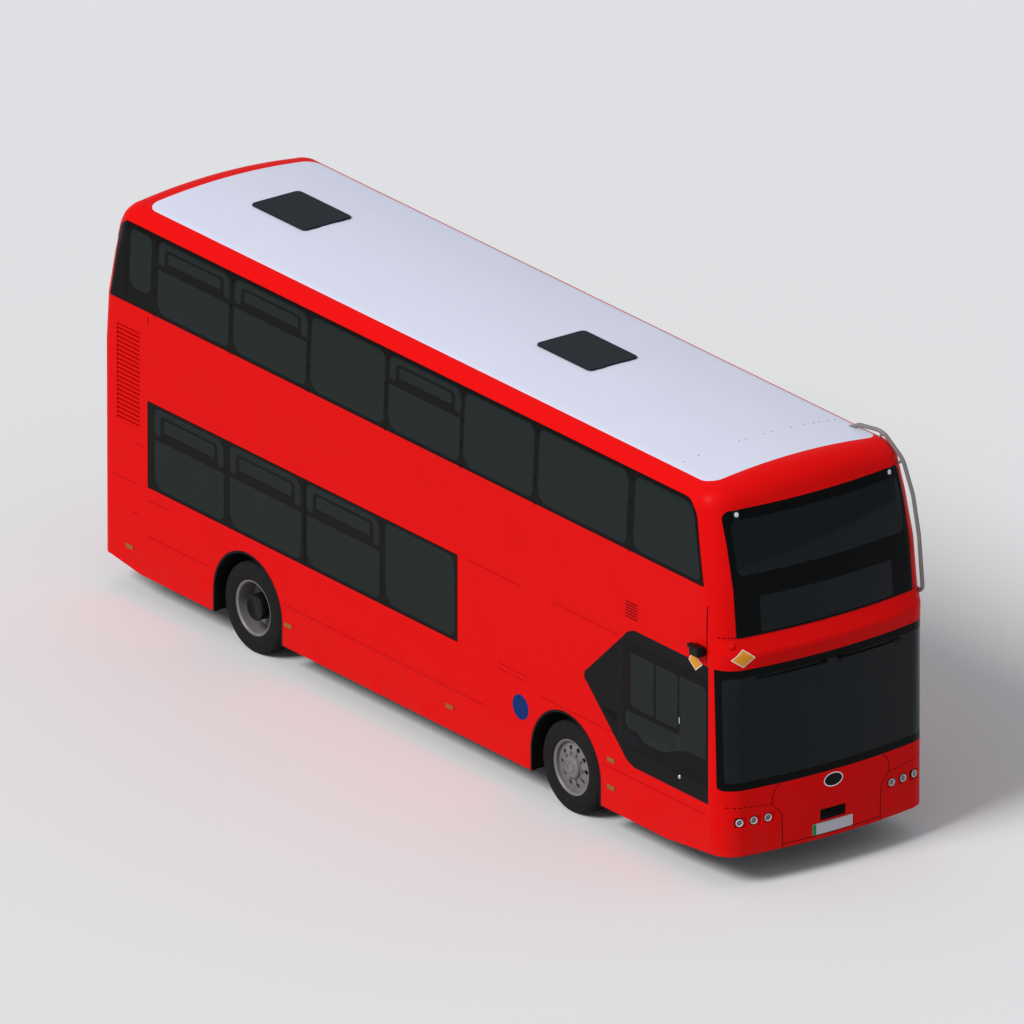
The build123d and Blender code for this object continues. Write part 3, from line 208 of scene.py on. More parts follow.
@dataclass(frozen=True)
class Finish:
    """A plain finish: one colour with the fine unevenness of its stuff."""

    name: str
    colour: Colour
    slot: str
    roughness: float = 0.5
    metallic: float = 0.0
    coat: float = 0.0
    specular: float = 0.35
    grain: float = 90.0
    bump: float = 0.08
    vary: float = 0.12
    alpha: float = 1.0

    def material(self) -> bpy.types.Material:
        """The finish as a material, made once."""
        found = bpy.data.materials.get(self.name)
        if found:
            return found
        material = bpy.data.materials.new(self.name)
        material.use_nodes = True
        material.node_tree.nodes.clear()
        graph = Graph(material.node_tree)
        place = graph.add("ShaderNodeTexCoord")["Object"]
        graph.add("ShaderNodeOutputMaterial", {"Surface": self.shade(graph, place)})
        return material

    def shade(self, graph: Graph, place: Socket) -> Socket:
        """The shader of the finish at a place."""
        patch = graph.noise(place, 1.7)
        colour = self.tint(graph, place, patch)
        rough = self.roughness * (1.0 - self.vary / 2) + patch * (self.roughness * self.vary)
        values = {"Base Color": colour, "Roughness": rough, "Metallic": self.metallic, "Alpha": self.alpha,
                  "Specular IOR Level": self.specular, "Coat Weight": self.coat, "Coat Roughness": COAT_ROUGHNESS}
        if self.bump:
            relief = {"Height": self.height(graph, place), "Strength": self.bump, "Distance": BUMP_DEPTH}
            values["Normal"] = graph.add("ShaderNodeBump", relief)["Normal"]
        return graph.add("ShaderNodeBsdfPrincipled", values)["BSDF"]

    def tint(self, graph: Graph, place: Socket, patch: Socket) -> Socket:
        """The base colour, a little lighter and darker in patches."""
        dark = tuple(c * (1.0 - self.vary / 2) for c in self.colour)
        light = tuple(min(1.0, c * (1.0 + self.vary / 2)) for c in self.colour)
        return graph.mix(patch, dark, light)

    def height(self, graph: Graph, place: Socket) -> Socket:
        """The relief that the bump follows."""
        return graph.noise(place, self.grain, 2.0)


@dataclass(frozen=True)
class BodyPaint(Finish):
    """Gloss paint outside, trim where a face looks in to the body's core, and a thin road film low down."""

    trim: Colour = (0.42, 0.43, 0.45)
    film: Colour = (0.30, 0.05, 0.035)
    reach: float = 4.72
    top: float = 3.4
    low: float = 0.6
    inward: float = -0.28
    mist: float = 0.22

    def tint(self, graph: Graph, place: Socket, patch: Socket) -> Socket:
        """Paint, road film below and inner trim by which way the surface faces."""
        paint = Finish.tint(self, graph, place, patch)
        split = graph.parts(place)
        x, y, z = split["X"], split["Y"], split["Z"]
        mist = (1.0 - z.ramp(0.25, 0.95)) * graph.noise(place, 5.0, 5.0).ramp(0.35, 0.8) * self.mist
        paint = graph.mix(mist, paint, self.film)
        normal = graph.parts(graph.add("ShaderNodeTexCoord")["Normal"])
        lean = normal["X"] * (x - x.clipped(-self.reach, self.reach)) + normal["Y"] * y
        lean = lean + normal["Z"] * (z - z.clipped(self.low, self.top))
        return graph.mix(lean < self.inward, paint, self.trim)


@dataclass(frozen=True)
class Rubber(Finish):
    """Tyre rubber: matt, with dust in the tread and fine rings on the sidewall."""

    dust: Colour = (0.05, 0.045, 0.04)

    def tint(self, graph: Graph, place: Socket, patch: Socket) -> Socket:
        """Black with a breath of dust."""
        dusty = graph.noise(place, 9.0, 6.0).ramp(0.5, 0.9) * 0.35
        return graph.mix(dusty, Finish.tint(self, graph, place, patch), self.dust)


@dataclass(frozen=True)
class WheelPaint(Finish):
    """Grey wheel paint with a dark hub inside a radius."""

    centre: Point = (0.0, 0.0)
    hub_radius: float = 0.0
    hub: Colour = (0.012, 0.012, 0.013)
    dust: Colour = (0.09, 0.08, 0.08)

    def tint(self, graph: Graph, place: Socket, patch: Socket) -> Socket:
        """Grey with brake dust, and a dark hub inside the radius."""
        split = graph.parts(place)
        dx, dz = split["X"] - self.centre[0], split["Z"] - self.centre[1]
        radius = (dx * dx + dz * dz).math("SQRT")
        dusty = graph.noise(place, 14.0, 5.0).ramp(0.45, 0.85) * 0.25
        grey = graph.mix(dusty, Finish.tint(self, graph, place, patch), self.dust)
        return graph.mix(radius < self.hub_radius, grey, self.hub)


@dataclass(frozen=True)
class Moquette(Finish):
    """Seat cloth: a woven ground with small diamonds."""

    thread: Colour = (0.10, 0.02, 0.02)
    light: Colour = (0.16, 0.18, 0.26)

    def tint(self, graph: Graph, place: Socket, patch: Socket) -> Socket:
        """Ground colour with two sizes of checks."""
        ground = Finish.tint(self, graph, place, patch)
        large = graph.add("ShaderNodeTexChecker", {"Vector": place, "Scale": 22.0})["Fac"]
        small = graph.add("ShaderNodeTexChecker", {"Vector": place, "Scale": 67.0})["Fac"]
        return graph.mix(small * 0.35, graph.mix(large * 0.5, ground, self.thread), self.light)


@dataclass(frozen=True)
class Ribbed(Finish):
    """A moulded surface with straight ribs along one axis."""

    axis: str = "X"
    pitch: float = 0.012

    def height(self, graph: Graph, place: Socket) -> Socket:
        """Rounded ribs."""
        along = graph.parts(place)[self.axis]
        return (along * (2 * math.pi / self.pitch)).math("SINE")


@dataclass(frozen=True)
class PaleFloor(Finish):
    """Floor paint that looks pale and throws back less light than it shows."""

    bounce: Colour = (0.42, 0.42, 0.42)

    def tint(self, graph: Graph, place: Socket, patch: Socket) -> Socket:
        """Pale where it is seen, also in metal and glass, and darker for the light that it throws back."""
        path = graph.add("ShaderNodeLightPath")
        seen = path["Is Camera Ray"] + path["Is Glossy Ray"] + path["Is Transmission Ray"]
        return graph.mix(seen.clipped(0.0, 1.0), self.bounce, self.colour)


RED: Colour = (0.775, 0.0035, 0.0035)
PAINT_RED = BodyPaint("paint_red", RED, "body_red", 0.42, coat=0.02, specular=0.04, grain=160.0, bump=0.03, vary=0.05)
PAINT_DOOR = Finish("paint_door", RED, "door_red", 0.42, coat=0.02, specular=0.04, grain=160.0, bump=0.03, vary=0.05)
# A darker red that is painted shade: it darkens the louvres' depth and the brow cap's rim.
SHADE_RED = Finish("painted_shade_red", (0.37, 0.0025, 0.0025), "body_red", 0.6, specular=0.04, bump=0.0)
PAINT_ROOF = BodyPaint("paint_roof", (0.70, 0.72, 0.85), "roof_white", 0.42, coat=0.15, specular=0.25, grain=120.0,
                       bump=0.03, vary=0.05, film=(0.5, 0.5, 0.5))
GLASS_SIDE = Finish("glass_side", (0.0120, 0.0170, 0.0175), "tinted_glass", 0.06, specular=0.08, bump=0.0, vary=0.15,
                    alpha=0.95)
GLASS_SOLID = Finish("glass_side_solid", (0.0145, 0.0195, 0.0200), "tinted_glass", 0.06, specular=0.08, bump=0.0,
                     vary=0.15)
GLASS_BLUE = Finish("glass_blue", (0.003, 0.0035, 0.009), "tinted_glass", 0.08, specular=0.08, bump=0.0, vary=0.2)
GLASS_FRONT = Finish("glass_front", (0.0060, 0.0095, 0.0125), "tinted_glass", 0.05, specular=0.12, bump=0.0, vary=0.2,
                     alpha=0.93)
GLASS_EDGE = Finish("glass_front_solid", (0.0060, 0.0095, 0.0125), "tinted_glass", 0.05, specular=0.12, bump=0.0,
                    vary=0.2)
FRIT = Finish("glass_border", (0.0058, 0.0056, 0.0050), "black_panel", 0.25, specular=0.05, bump=0.0, vary=0.1)
FRIT_FRONT = Finish("screen_border", (0.0028, 0.0032, 0.0034), "black_panel", 0.25, specular=0.05, bump=0.0, vary=0.1)
BLACK_SATIN = Finish("black_satin", (0.0092, 0.0090, 0.0090), "black_panel", 0.45, specular=0.05)
SEALANT = Finish("sealant", (0.0012, 0.0012, 0.0012), "black_panel", 0.6, specular=0.03)
PLASTIC = Finish("moulded_plastic", (0.0115, 0.0165, 0.0215), "moulded_black", 0.45, specular=0.08, grain=220.0,
                 bump=0.12)
POD_BLACK = Finish("pod_shell", (0.0045, 0.0055, 0.0060), "moulded_black", 0.35, specular=0.12, grain=200.0,
                   bump=0.06)
STEEL_DARK = Finish("coated_steel", (0.018, 0.018, 0.020), "frame_steel", 0.5, specular=0.15, grain=60.0, bump=0.15,
                    vary=0.5)
NUT_STEEL = Finish("nut_steel", (0.17, 0.165, 0.17), "wheel_silver", 0.4, metallic=0.3, grain=60.0, bump=0.1)
GUARD_GREY = Finish("guard_paint", (0.205, 0.185, 0.178), "guard_grey", 0.4)
TRIM_GREY = Finish("trim_panel", (0.35, 0.36, 0.38), "trim_grey", 0.55, grain=260.0, bump=0.1)
VINYL = Finish("floor_vinyl", (0.10, 0.11, 0.13), "deck_floor", 0.5, grain=300.0, bump=0.15, vary=0.3)
POLE = Finish("pole_coat", (0.8, 0.55, 0.04), "pole_yellow", 0.35)
LENS_CLEAR = Finish("lens_clear", (0.72, 0.74, 0.78), "lamp_clear", 0.12, coat=0.6)
LENS_GREY = Finish("lens_grey", (0.10, 0.11, 0.12), "lamp_clear", 0.1, coat=0.8)
LENS_AMBER = Ribbed("lens_amber", (0.33, 0.09, 0.008), "lamp_amber", 0.3, bump=0.6, axis="X", pitch=0.024)
LENS_RED = Ribbed("lens_red", (0.42, 0.008, 0.008), "lamp_red", 0.2, bump=0.5, axis="Z", pitch=0.008)
CHROME = Finish("bright_metal", (0.62, 0.63, 0.66), "lamp_clear", 0.18, metallic=1.0, bump=0.0)
TYRE_RUBBER = Rubber("tyre_rubber", (0.0130, 0.0125, 0.0125), "tyre", 0.78, specular=0.1, grain=240.0, bump=0.2,
                     dust=(0.03, 0.028, 0.026))
CLOTH = Moquette("seat_moquette", (0.03, 0.04, 0.12), "seat_cloth", 0.95, grain=700.0, bump=0.4)
ORANGE = Finish("sign_orange", (0.77, 0.30, 0.013), "lamp_amber", 0.4, bump=0.0)
SIGN_WHITE = Finish("sign_white", (0.78, 0.78, 0.78), "roof_white", 0.4, bump=0.0)
SIGN_BLUE = Finish("sign_blue", (0.0035, 0.027, 0.15), "moulded_black", 0.35, specular=0.06, bump=0.0)
PLATE_GREEN = Finish("plate_green", (0.0, 0.22, 0.03), "moulded_black", 0.4, bump=0.0)
PLATE_PALE = Finish("plate_pale", (0.55, 0.54, 0.60), "roof_white", 0.35, bump=0.0)


# ------------------------------------------------------------------ body form
@dataclass(frozen=True)
class Section:
    """The plan outline of the upper body at one height, as moves in from the lower body."""

    z: float
    set_back: float
    tail_in: float
    side_in: float
    front_r: float
    rear_r: float


@dataclass(frozen=True)
class BodyForm:
    """The outer skin of the body: straight sides, bowed ends and round corners that lean in with height."""

    nose: float = 5.235
    tail: float = -5.235
    half: float = 1.275
    nose_bow: float = 0.130
    tail_bow: float = 0.030
    crown_z: float = 4.205
    crown_drop: float = 0.110
    edge_r: float = 0.280
    brow_z: float = 2.490
    rows: tuple[Section, ...] = (
        Section(2.490, 0.0, 0.0, 0.0, 0.270, 0.130),
        Section(2.630, 0.045, 0.0, 0.0, 0.275, 0.130),
        Section(3.148, 0.095, 0.010, 0.003, 0.300, 0.170),
        Section(3.600, 0.190, 0.060, 0.022, 0.330, 0.230),
        Section(4.300, 0.390, 0.170, 0.062, 0.360, 0.320),
    )
    plain_z: float = 3.80
    side_reach: float = 0.98
    end_reach: float = 0.99

    def at(self, z: float) -> Section:
        """The outline at a height, straight between the rows."""
        z = min(max(z, self.rows[0].z), self.rows[-1].z)
        for low, high in zip(self.rows, self.rows[1:]):
            if z <= high.z:
                t = (z - low.z) / (high.z - low.z)
                pick = [getattr(low, k) + t * (getattr(high, k) - getattr(low, k))
                        for k in ("set_back", "tail_in", "side_in", "front_r", "rear_r")]
                return Section(z, *pick)
        return self.rows[-1]

    def lean(self, z: float, name: str) -> float:
        """How fast a move grows with height, eased between the rows so that the skin shades as one curve."""
        if z < self.rows[1].z:
            low, high = self.rows[0], self.rows[1]
            return 0.0 if z < low.z else (getattr(high, name) - getattr(low, name)) / (high.z - low.z)
        spans = list(zip(self.rows[1:], self.rows[2:]))
        slopes = [(getattr(b, name) - getattr(a, name)) / (b.z - a.z) for a, b in spans]
        knots = [(self.rows[1].z, 1.5 * slopes[0] - 0.5 * slopes[1])]
        knots += [(spans[i][1].z, (slopes[i] + slopes[i + 1]) / 2) for i in range(len(slopes) - 1)]
        knots.append((self.plain_z, slopes[-1]))
        for (z0, s0), (z1, s1) in zip(knots, knots[1:]):
            if z <= z1:
                return s0 + (s1 - s0) * (z - z0) / (z1 - z0)
        return knots[-1][1]

    def tilt(self, flat: Vector, z: float) -> Vector:
        """The skin's normal from its level direction and its height."""
        up = self.lean(z, "set_back") * max(flat.x, 0.0) + self.lean(z, "tail_in") * max(-flat.x, 0.0)
        up += self.lean(z, "side_in") * abs(flat.y)
        return Vector((flat.x, flat.y, up)).normalized()

    def cant(self, z: float) -> tuple[float, float]:
        """How far the roof's round edge draws a side in at a height, and the slope of that."""
        low, high = self.rows[-2], self.rows[-1]
        slope = (high.side_in - low.side_in) / (high.z - low.z)
        angle = math.atan(slope)
        normal = Vector((math.cos(angle), math.sin(angle)))
        along = Vector((-math.sin(angle), math.cos(angle)))
        reach = Vector((self.half - low.side_in, low.z)).dot(normal) - self.edge_r
        crown_r = (self.half ** 2 + self.crown_drop ** 2) / (2 * self.crown_drop)
        middle = Vector((0.0, self.crown_z - crown_r))
        start = normal * reach - middle
        b = start.dot(along)
        t = -b + math.sqrt(b * b - start.length_squared + (crown_r - self.edge_r) ** 2)
        centre = normal * reach + along * t
        rise = z - centre.y
        if rise <= self.edge_r * math.sin(angle):
            return 0.0, 0.0
        y = centre.x + math.sqrt(max(self.edge_r ** 2 - rise ** 2, 1e-6))
        wall = self.half - low.side_in - (z - low.z) * slope
        return wall - y, rise / (y - centre.x) - slope

    def side(self, x: float, z: float, side: int) -> tuple[Vector, Vector]:
        """The point and normal of a body side at a length and height."""
        row = self.at(z)
        half = self.half - row.side_in
        draw, steep = self.cant(z)
        flat = Vector((0.0, 1.0, 0.0))
        y = half
        for end in (1, -1):
            r = row.front_r if end > 0 else row.rear_r
            centre_x = self.corner(row, end)
            past = end * (x - centre_x)
            if past > 0:
                past = min(past, r * self.side_reach)
                rise = math.sqrt(r * r - past * past)
                y = half - r + rise
                flat = Vector((end * past / r, rise / r, 0.0))
        normal = self.tilt(flat, z)
        normal = Vector((normal.x, normal.y, normal.z + steep)).normalized()
        return Vector((x, side * (y - draw), z)), Vector((normal.x, side * normal.y, normal.z))

    def plan(self, row: Section, end: int) -> tuple[float, float, float, float]:
        """An end's half width, corner radius, bow radius and its bow's centre along X."""
        half = self.half - row.side_in
        bow, r = (self.nose_bow, row.front_r) if end > 0 else (self.tail_bow, row.rear_r)
        apex = self.nose - row.set_back if end > 0 else self.tail + row.tail_in
        big = (half * half + bow * bow) / (2 * bow)
        return half, r, big, apex - end * big

    def corner(self, row: Section, end: int) -> float:
        """Where a corner's arc has its centre along X."""
        half, r, big, centre = self.plan(row, end)
        return centre + end * math.sqrt((big - r) ** 2 - (half - r) ** 2)

    def end(self, y: float, z: float, end: int) -> tuple[Vector, Vector]:
        """The point and normal of the nose (end 1) or tail (end -1) at a width and height."""
        row = self.at(z)
        half, r, big, centre = self.plan(row, end)
        if abs(y) <= (half - r) * big / (big - r):
            deep = math.sqrt(big * big - y * y)
            x = centre + end * deep
            flat = Vector((end * deep / big, y / big, 0.0))
        else:
            past = min(abs(y) - (half - r), r * self.end_reach)
            deep = math.sqrt(r * r - past * past)
            x = self.corner(row, end) + end * deep
            flat = Vector((end * deep / r, math.copysign(past / r, y), 0.0))
        return Vector((x, y, z)), self.tilt(flat, z)


FORM = BodyForm()


class Face(Enum):
    """The faces of the body that flat shapes are laid on."""

    OFFSIDE = "offside"
    NEARSIDE = "nearside"
    NOSE = "nose"
    TAIL = "tail"

    def place(self, u: float, z: float) -> tuple[Vector, Vector]:
        """The skin's point and normal for a shape's point: u is X on a side and Y on an end."""
        if self in (Face.OFFSIDE, Face.NEARSIDE):
            return FORM.side(u, z, OFFSIDE if self is Face.OFFSIDE else NEARSIDE)
        return FORM.end(u, z, 1 if self is Face.NOSE else -1)


# ------------------------------------------------------------------ meshes
def arc(centre: Point, radius: float, start: float, end: float, steps: int = 6) -> list[Point]:
    """Points along an arc, with its angles in degrees."""
    angles = (math.radians(start + (end - start) * i / steps) for i in range(steps + 1))
    return [(centre[0] + radius * math.cos(a), centre[1] + radius * math.sin(a)) for a in angles]


def softened(points: Sequence[Point], radii: Radii, steps: int = 6) -> list[Point]:
    """A polygon with its corners rounded.

    Args:
        points: its corners in turn.
        radii: one radius for all of them, or one for each.
        steps: the flats of each round corner.
    Returns:
        The outline.
    """
    out: list[Point] = []
    count = len(points)
    each = [radii] * count if isinstance(radii, (int, float)) else list(radii)
    for i, radius in enumerate(each):
        corner = Vector(points[i])
        back = (Vector(points[i - 1]) - corner).normalized()
        ahead = (Vector(points[(i + 1) % count]) - corner).normalized()
        half = back.angle(ahead) / 2
        if radius <= 0 or half > math.pi / 2 - 1e-3:
            out.append(tuple(corner))
            continue
        centre = corner + (back + ahead).normalized() * (radius / math.sin(half))
        start = corner + back * (radius / math.tan(half)) - centre
        turn = back.angle_signed(ahead)
        sweep = math.copysign(math.pi - abs(turn), -turn)
        angle = math.atan2(start.y, start.x)
        out += arc(tuple(centre), radius, math.degrees(angle), math.degrees(angle - sweep), steps)
    return out


def rounded(u: Point, z: Point, radii: Radii) -> list[Point]:
    """A rounded rectangle; radii run from the lower left corner anticlockwise."""
    return softened([(u[0], z[0]), (u[1], z[0]), (u[1], z[1]), (u[0], z[1])], radii)


def linked(name: str, data: bpy.types.ID) -> bpy.types.Object:
    """A new object in the scene."""
    obj = bpy.data.objects.new(name, data)
    bpy.context.scene.collection.objects.link(obj)
    return obj


def dress(mesh: bpy.types.Mesh, *finishes: Finish) -> None:
    """Gives a mesh one material for each finish."""
    for finish in finishes:
        mesh.materials.append(finish.material())


def new_object(name: str, bm: bmesh.types.BMesh, *finishes: Finish) -> bpy.types.Object:
    """Turns a bmesh into an object with materials and frees it."""
    mesh = bpy.data.meshes.new(name)
    bm.to_mesh(mesh)
    bm.free()
    dress(mesh, *finishes)
    return linked(name, mesh)


@contextmanager
def edited(mesh: bpy.types.Mesh) -> Iterator[bmesh.types.BMesh]:
    """A bmesh of a mesh, written back and freed at the end."""
    bm = bmesh.new()
    bm.from_mesh(mesh)
    yield bm
    bm.to_mesh(mesh)
    bm.free()


def settle(obj: bpy.types.Object, body: str, slot: str, *replaced: str) -> None:
    """Puts a finished piece on its body and hides the nodes that it stands for; its slot is not used."""
    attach(obj, body)
    if replaced:
        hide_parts(*replaced)
    log.info("%s on %s: %d faces", obj.name, body, len(obj.data.polygons) if obj.type == "MESH" else 0)


def add_piece(name: str, bm: bmesh.types.BMesh, *finishes: Finish, body: str = "root",
              replaced: Sequence[str] = ()) -> None:
    """Turns a closed bmesh into a piece with its finishes, settled on a body."""
    outward(bm)
    settle(new_object(name, bm, *finishes), body, finishes[0].slot, *replaced)


def fill(bm: bmesh.types.BMesh, loops: Sequence[Sequence[Point]], index: int = 0) -> None:
    """Adds the flat area between closed outlines, where inner ones are holes, at (u, z, 0)."""
    curve = bpy.data.curves.new("fill", "CURVE")
    curve.dimensions = "2D"
    curve.fill_mode = "BOTH"
    for loop in loops:
        spline = curve.splines.new("POLY")
        spline.points.add(len(loop) - 1)
        for point, (u, z) in zip(spline.points, loop):
            point.co = (u, z, 0.0, 1.0)
        spline.use_cyclic_u = True
    obj = linked("fill", curve)
    mesh = bpy.data.meshes.new_from_object(obj.evaluated_get(bpy.context.evaluated_depsgraph_get()))
    bpy.data.objects.remove(obj)
    bpy.data.curves.remove(curve)
    before = len(bm.faces)
    bm.from_mesh(mesh)
    bpy.data.meshes.remove(mesh)
    bm.faces.ensure_lookup_table()
    for face in bm.faces[before:]:
        face.material_index = index


def slice_rows(bm: bmesh.types.BMesh, axis: int, places: Iterable[float]) -> None:
    """Cuts every face at level planes across one axis."""
    normal = Vector((0, 0, 0))
    normal[axis] = 1.0
    for place in places:
        bmesh.ops.bisect_plane(bm, geom=bm.verts[:] + bm.edges[:] + bm.faces[:], dist=1e-5, plane_co=normal * place,
                               plane_no=normal)


def steps_between(low: float, high: float, pitch: float) -> list[float]:
    """Evenly spaced places strictly between two ends."""
    count = max(1, round((high - low) / pitch))
    return [low + (high - low) * i / count for i in range(1, count)]


class Skinned:
    """A thin plate laid on a face of the body, from outlines drawn in its length or width and height."""

    step: float = 0.006

    def __init__(self, face: Face) -> None:
        """Starts an empty plate on a face."""
        self.face = face
        self.bm = bmesh.new()

    def area(self, loops: Sequence[Sequence[Point]], index: int = 0) -> "Skinned":
        """Adds the area between outlines, with a material index."""
        fill(self.bm, loops, index)
        return self

    def tick(self, middle: Point, half: Point) -> "Skinned":
        """Adds a small rectangle from its middle and its half sizes."""
        (u, z), (wide, tall) = middle, half
        return self.area([rounded((u - wide, u + wide), (z - tall, z + tall), 0.0)])

    def lay(self, name: str, out: Height, thick: float, *finishes: Finish, pitch: float = 0.1) -> None:
        """Bends the plate over the skin, and settles it on the root body.

        Args:
            name: the piece's name.
            out: how far its outer face stands out of the skin, negative when sunk, or a function of the place.
            thick: its thickness inwards.
            finishes: one for each material index.
            pitch: the spacing of the rows that let it bend.
        """
        bm = self.bm
        bmesh.ops.remove_doubles(bm, verts=bm.verts, dist=2e-5)
        self.divide(pitch)
        rise = out if callable(out) else (lambda u, z: out)
        on_end = self.face in (Face.NOSE, Face.TAIL)
        across, step = Vector((0, 1, 0) if on_end else (1, 0, 0)), self.step
        front, deep, normals = {}, {}, {}
        for v in list(bm.verts):
            u, z = v.co.x, v.co.y
            point, normal = self.face.place(u, z)
            front[v] = point + normal * rise(u, z)
            deep[v] = front[v] - normal * thick
            up = (rise(u, z + step) - rise(u, z - step)) / (2 * step)
            along = (rise(u + step, z) - rise(u - step, z)) / (2 * step)
            normals[v] = (normal - Vector((0, 0, up)) - across * along).normalized()
        back = {v: bm.verts.new(deep[v]) for v in front}
        for v, point in front.items():
            v.co = point
        for face in list(bm.faces):
            face.normal_update()
            if face.normal.dot(normals[face.verts[0]]) < 0:
                face.normal_flip()
            low = bm.faces.new([back[v] for v in reversed(face.verts)])
            low.material_index = face.material_index
            face.tag = True
        for edge in [e for e in bm.edges if e.verts[0] in front and e.verts[1] in front and len(e.link_faces) == 1]:
            loop = edge.link_loops[0]
            a, b = loop.vert, loop.link_loop_next.vert
            rim = bm.faces.new([b, a, back[a], back[b]])
            rim.material_index = edge.link_faces[0].material_index
        bm.normal_update()
        skin = [[tuple(normals[v]) if f.tag else tuple(f.normal) for v in f.verts] for f in bm.faces]
        obj = new_object(name, bm, *finishes)
        shade_with(obj, [n for face in skin for n in face])
        settle(obj, "root", finishes[0].slot)

    def divide(self, pitch: float) -> None:
        """Cuts rows into the flat plate wherever the skin bends."""
        bm = self.bm
        us = [v.co.x for v in bm.verts]
        zs = [v.co.y for v in bm.verts]
        if max(zs) > FORM.brow_z:
            slice_rows(bm, 1, [r.z for r in FORM.rows if min(zs) < r.z < max(zs)])
            slice_rows(bm, 1, steps_between(min(zs), max(zs), pitch))
        if self.face in (Face.NOSE, Face.TAIL):
            start, r = FORM.half - FORM.rows[0].front_r, FORM.rows[0].front_r
            bends = [s * (start + r * math.sin(math.radians(a))) for a in range(0, 86, 5) for s in (1, -1)]
            bends = steps_between(min(us), max(us), pitch) + bends
        else:
            bends = TAIL_BENDS + FRONT_BENDS
        slice_rows(bm, 0, [u for u in bends if min(us) < u < max(us)])
        bmesh.ops.triangulate(bm, faces=[f for f in bm.faces if len(f.verts) > 4])


def shade_with(obj: bpy.types.Object, normals: Sequence[Sequence[float]]) -> None:
    """Gives a mesh its own corner normals."""
    obj.data.polygons.foreach_set("use_smooth", [True] * len(obj.data.polygons))
    obj.data.normals_split_custom_set(normals)


def copy_node(node: str, name: str) -> bpy.types.Object:
    """A merged copy of a CAD node that keeps the node's corner normals."""
    source = NODES[node].data
    mesh = source.copy()
    mesh.materials.clear()
    corners = source.corner_normals
    with edited(mesh) as bm:
        layer = bm.loops.layers.float_vector.new("kept")
        for face in bm.faces:
            for loop in face.loops:
                loop[layer] = corners[loop.index].vector
        bmesh.ops.remove_doubles(bm, verts=bm.verts, dist=1e-5)
    return linked(name, mesh)


def kept_normals(obj: bpy.types.Object, change: Callable[[Vector, Vector], Vector] | None = None) -> None:
    """Shades a copied node with its kept normals, which change(place, kept) may turn.

    Faces of its second finish are shaded flat.
    """
    mesh = obj.data
    kept = mesh.attributes["kept"]
    out = []
    for poly in mesh.polygons:
        for i in poly.loop_indices:
            normal = Vector(kept.data[i].vector)
            if normal.length < 0.5 or poly.material_index:
                normal = poly.normal.copy()
            elif change:
                normal = change(mesh.vertices[mesh.loops[i].vertex_index].co, normal.normalized())
            out.append(tuple(normal.normalized()))
    mesh.attributes.remove(kept)
    shade_with(obj, out)


def lathe(bm: bmesh.types.BMesh, profile: Sequence[Point], centre: Vector, axis: Vector, steps: int,
          index: int = 0) -> None:
    """Adds a turned shape: profile points are (radius, distance along the axis); a radius of 0 closes an end."""
    axis = axis.normalized()
    across = axis.orthogonal().normalized()
    other = axis.cross(across)
    rings = []
    for radius, along in profile:
        middle = centre + axis * along
        if radius < 1e-6:
            rings.append([bm.verts.new(middle)])
        else:
            rings.append([bm.verts.new(middle + (across * math.cos(a) + other * math.sin(a)) * radius)
                          for a in (2 * math.pi * i / steps for i in range(steps))])
    for low, high in zip(rings, rings[1:]):
        for i in range(steps):
            j = (i + 1) % steps
            quad = [low[i % len(low)], low[j % len(low)], high[j % len(high)], high[i % len(high)]]
            face = bm.faces.new(list(dict.fromkeys(quad)))
            face.material_index = index
            face.smooth = True


def box(bm: bmesh.types.BMesh, low: Sequence[float], high: Sequence[float], bevel: float = 0.0) -> None:
    """Adds a box between two corners, with softened edges."""
    made = bmesh.ops.create_cube(bm, size=1.0)["verts"]
    for v in made:
        v.co = Vector([(low[k] + high[k]) / 2 + v.co[k] * (high[k] - low[k]) for k in range(3)])
    if bevel:
        edges = list(dict.fromkeys(e for v in made for e in v.link_edges))
        bmesh.ops.bevel(bm, geom=edges, offset=bevel, segments=2, affect="EDGES", profile=0.5, clamp_overlap=True)


def outward(bm: bmesh.types.BMesh) -> None:
    """Merges doubles and turns every face outwards."""
    bmesh.ops.remove_doubles(bm, verts=bm.verts, dist=1e-6)
    bmesh.ops.recalc_face_normals(bm, faces=bm.faces)


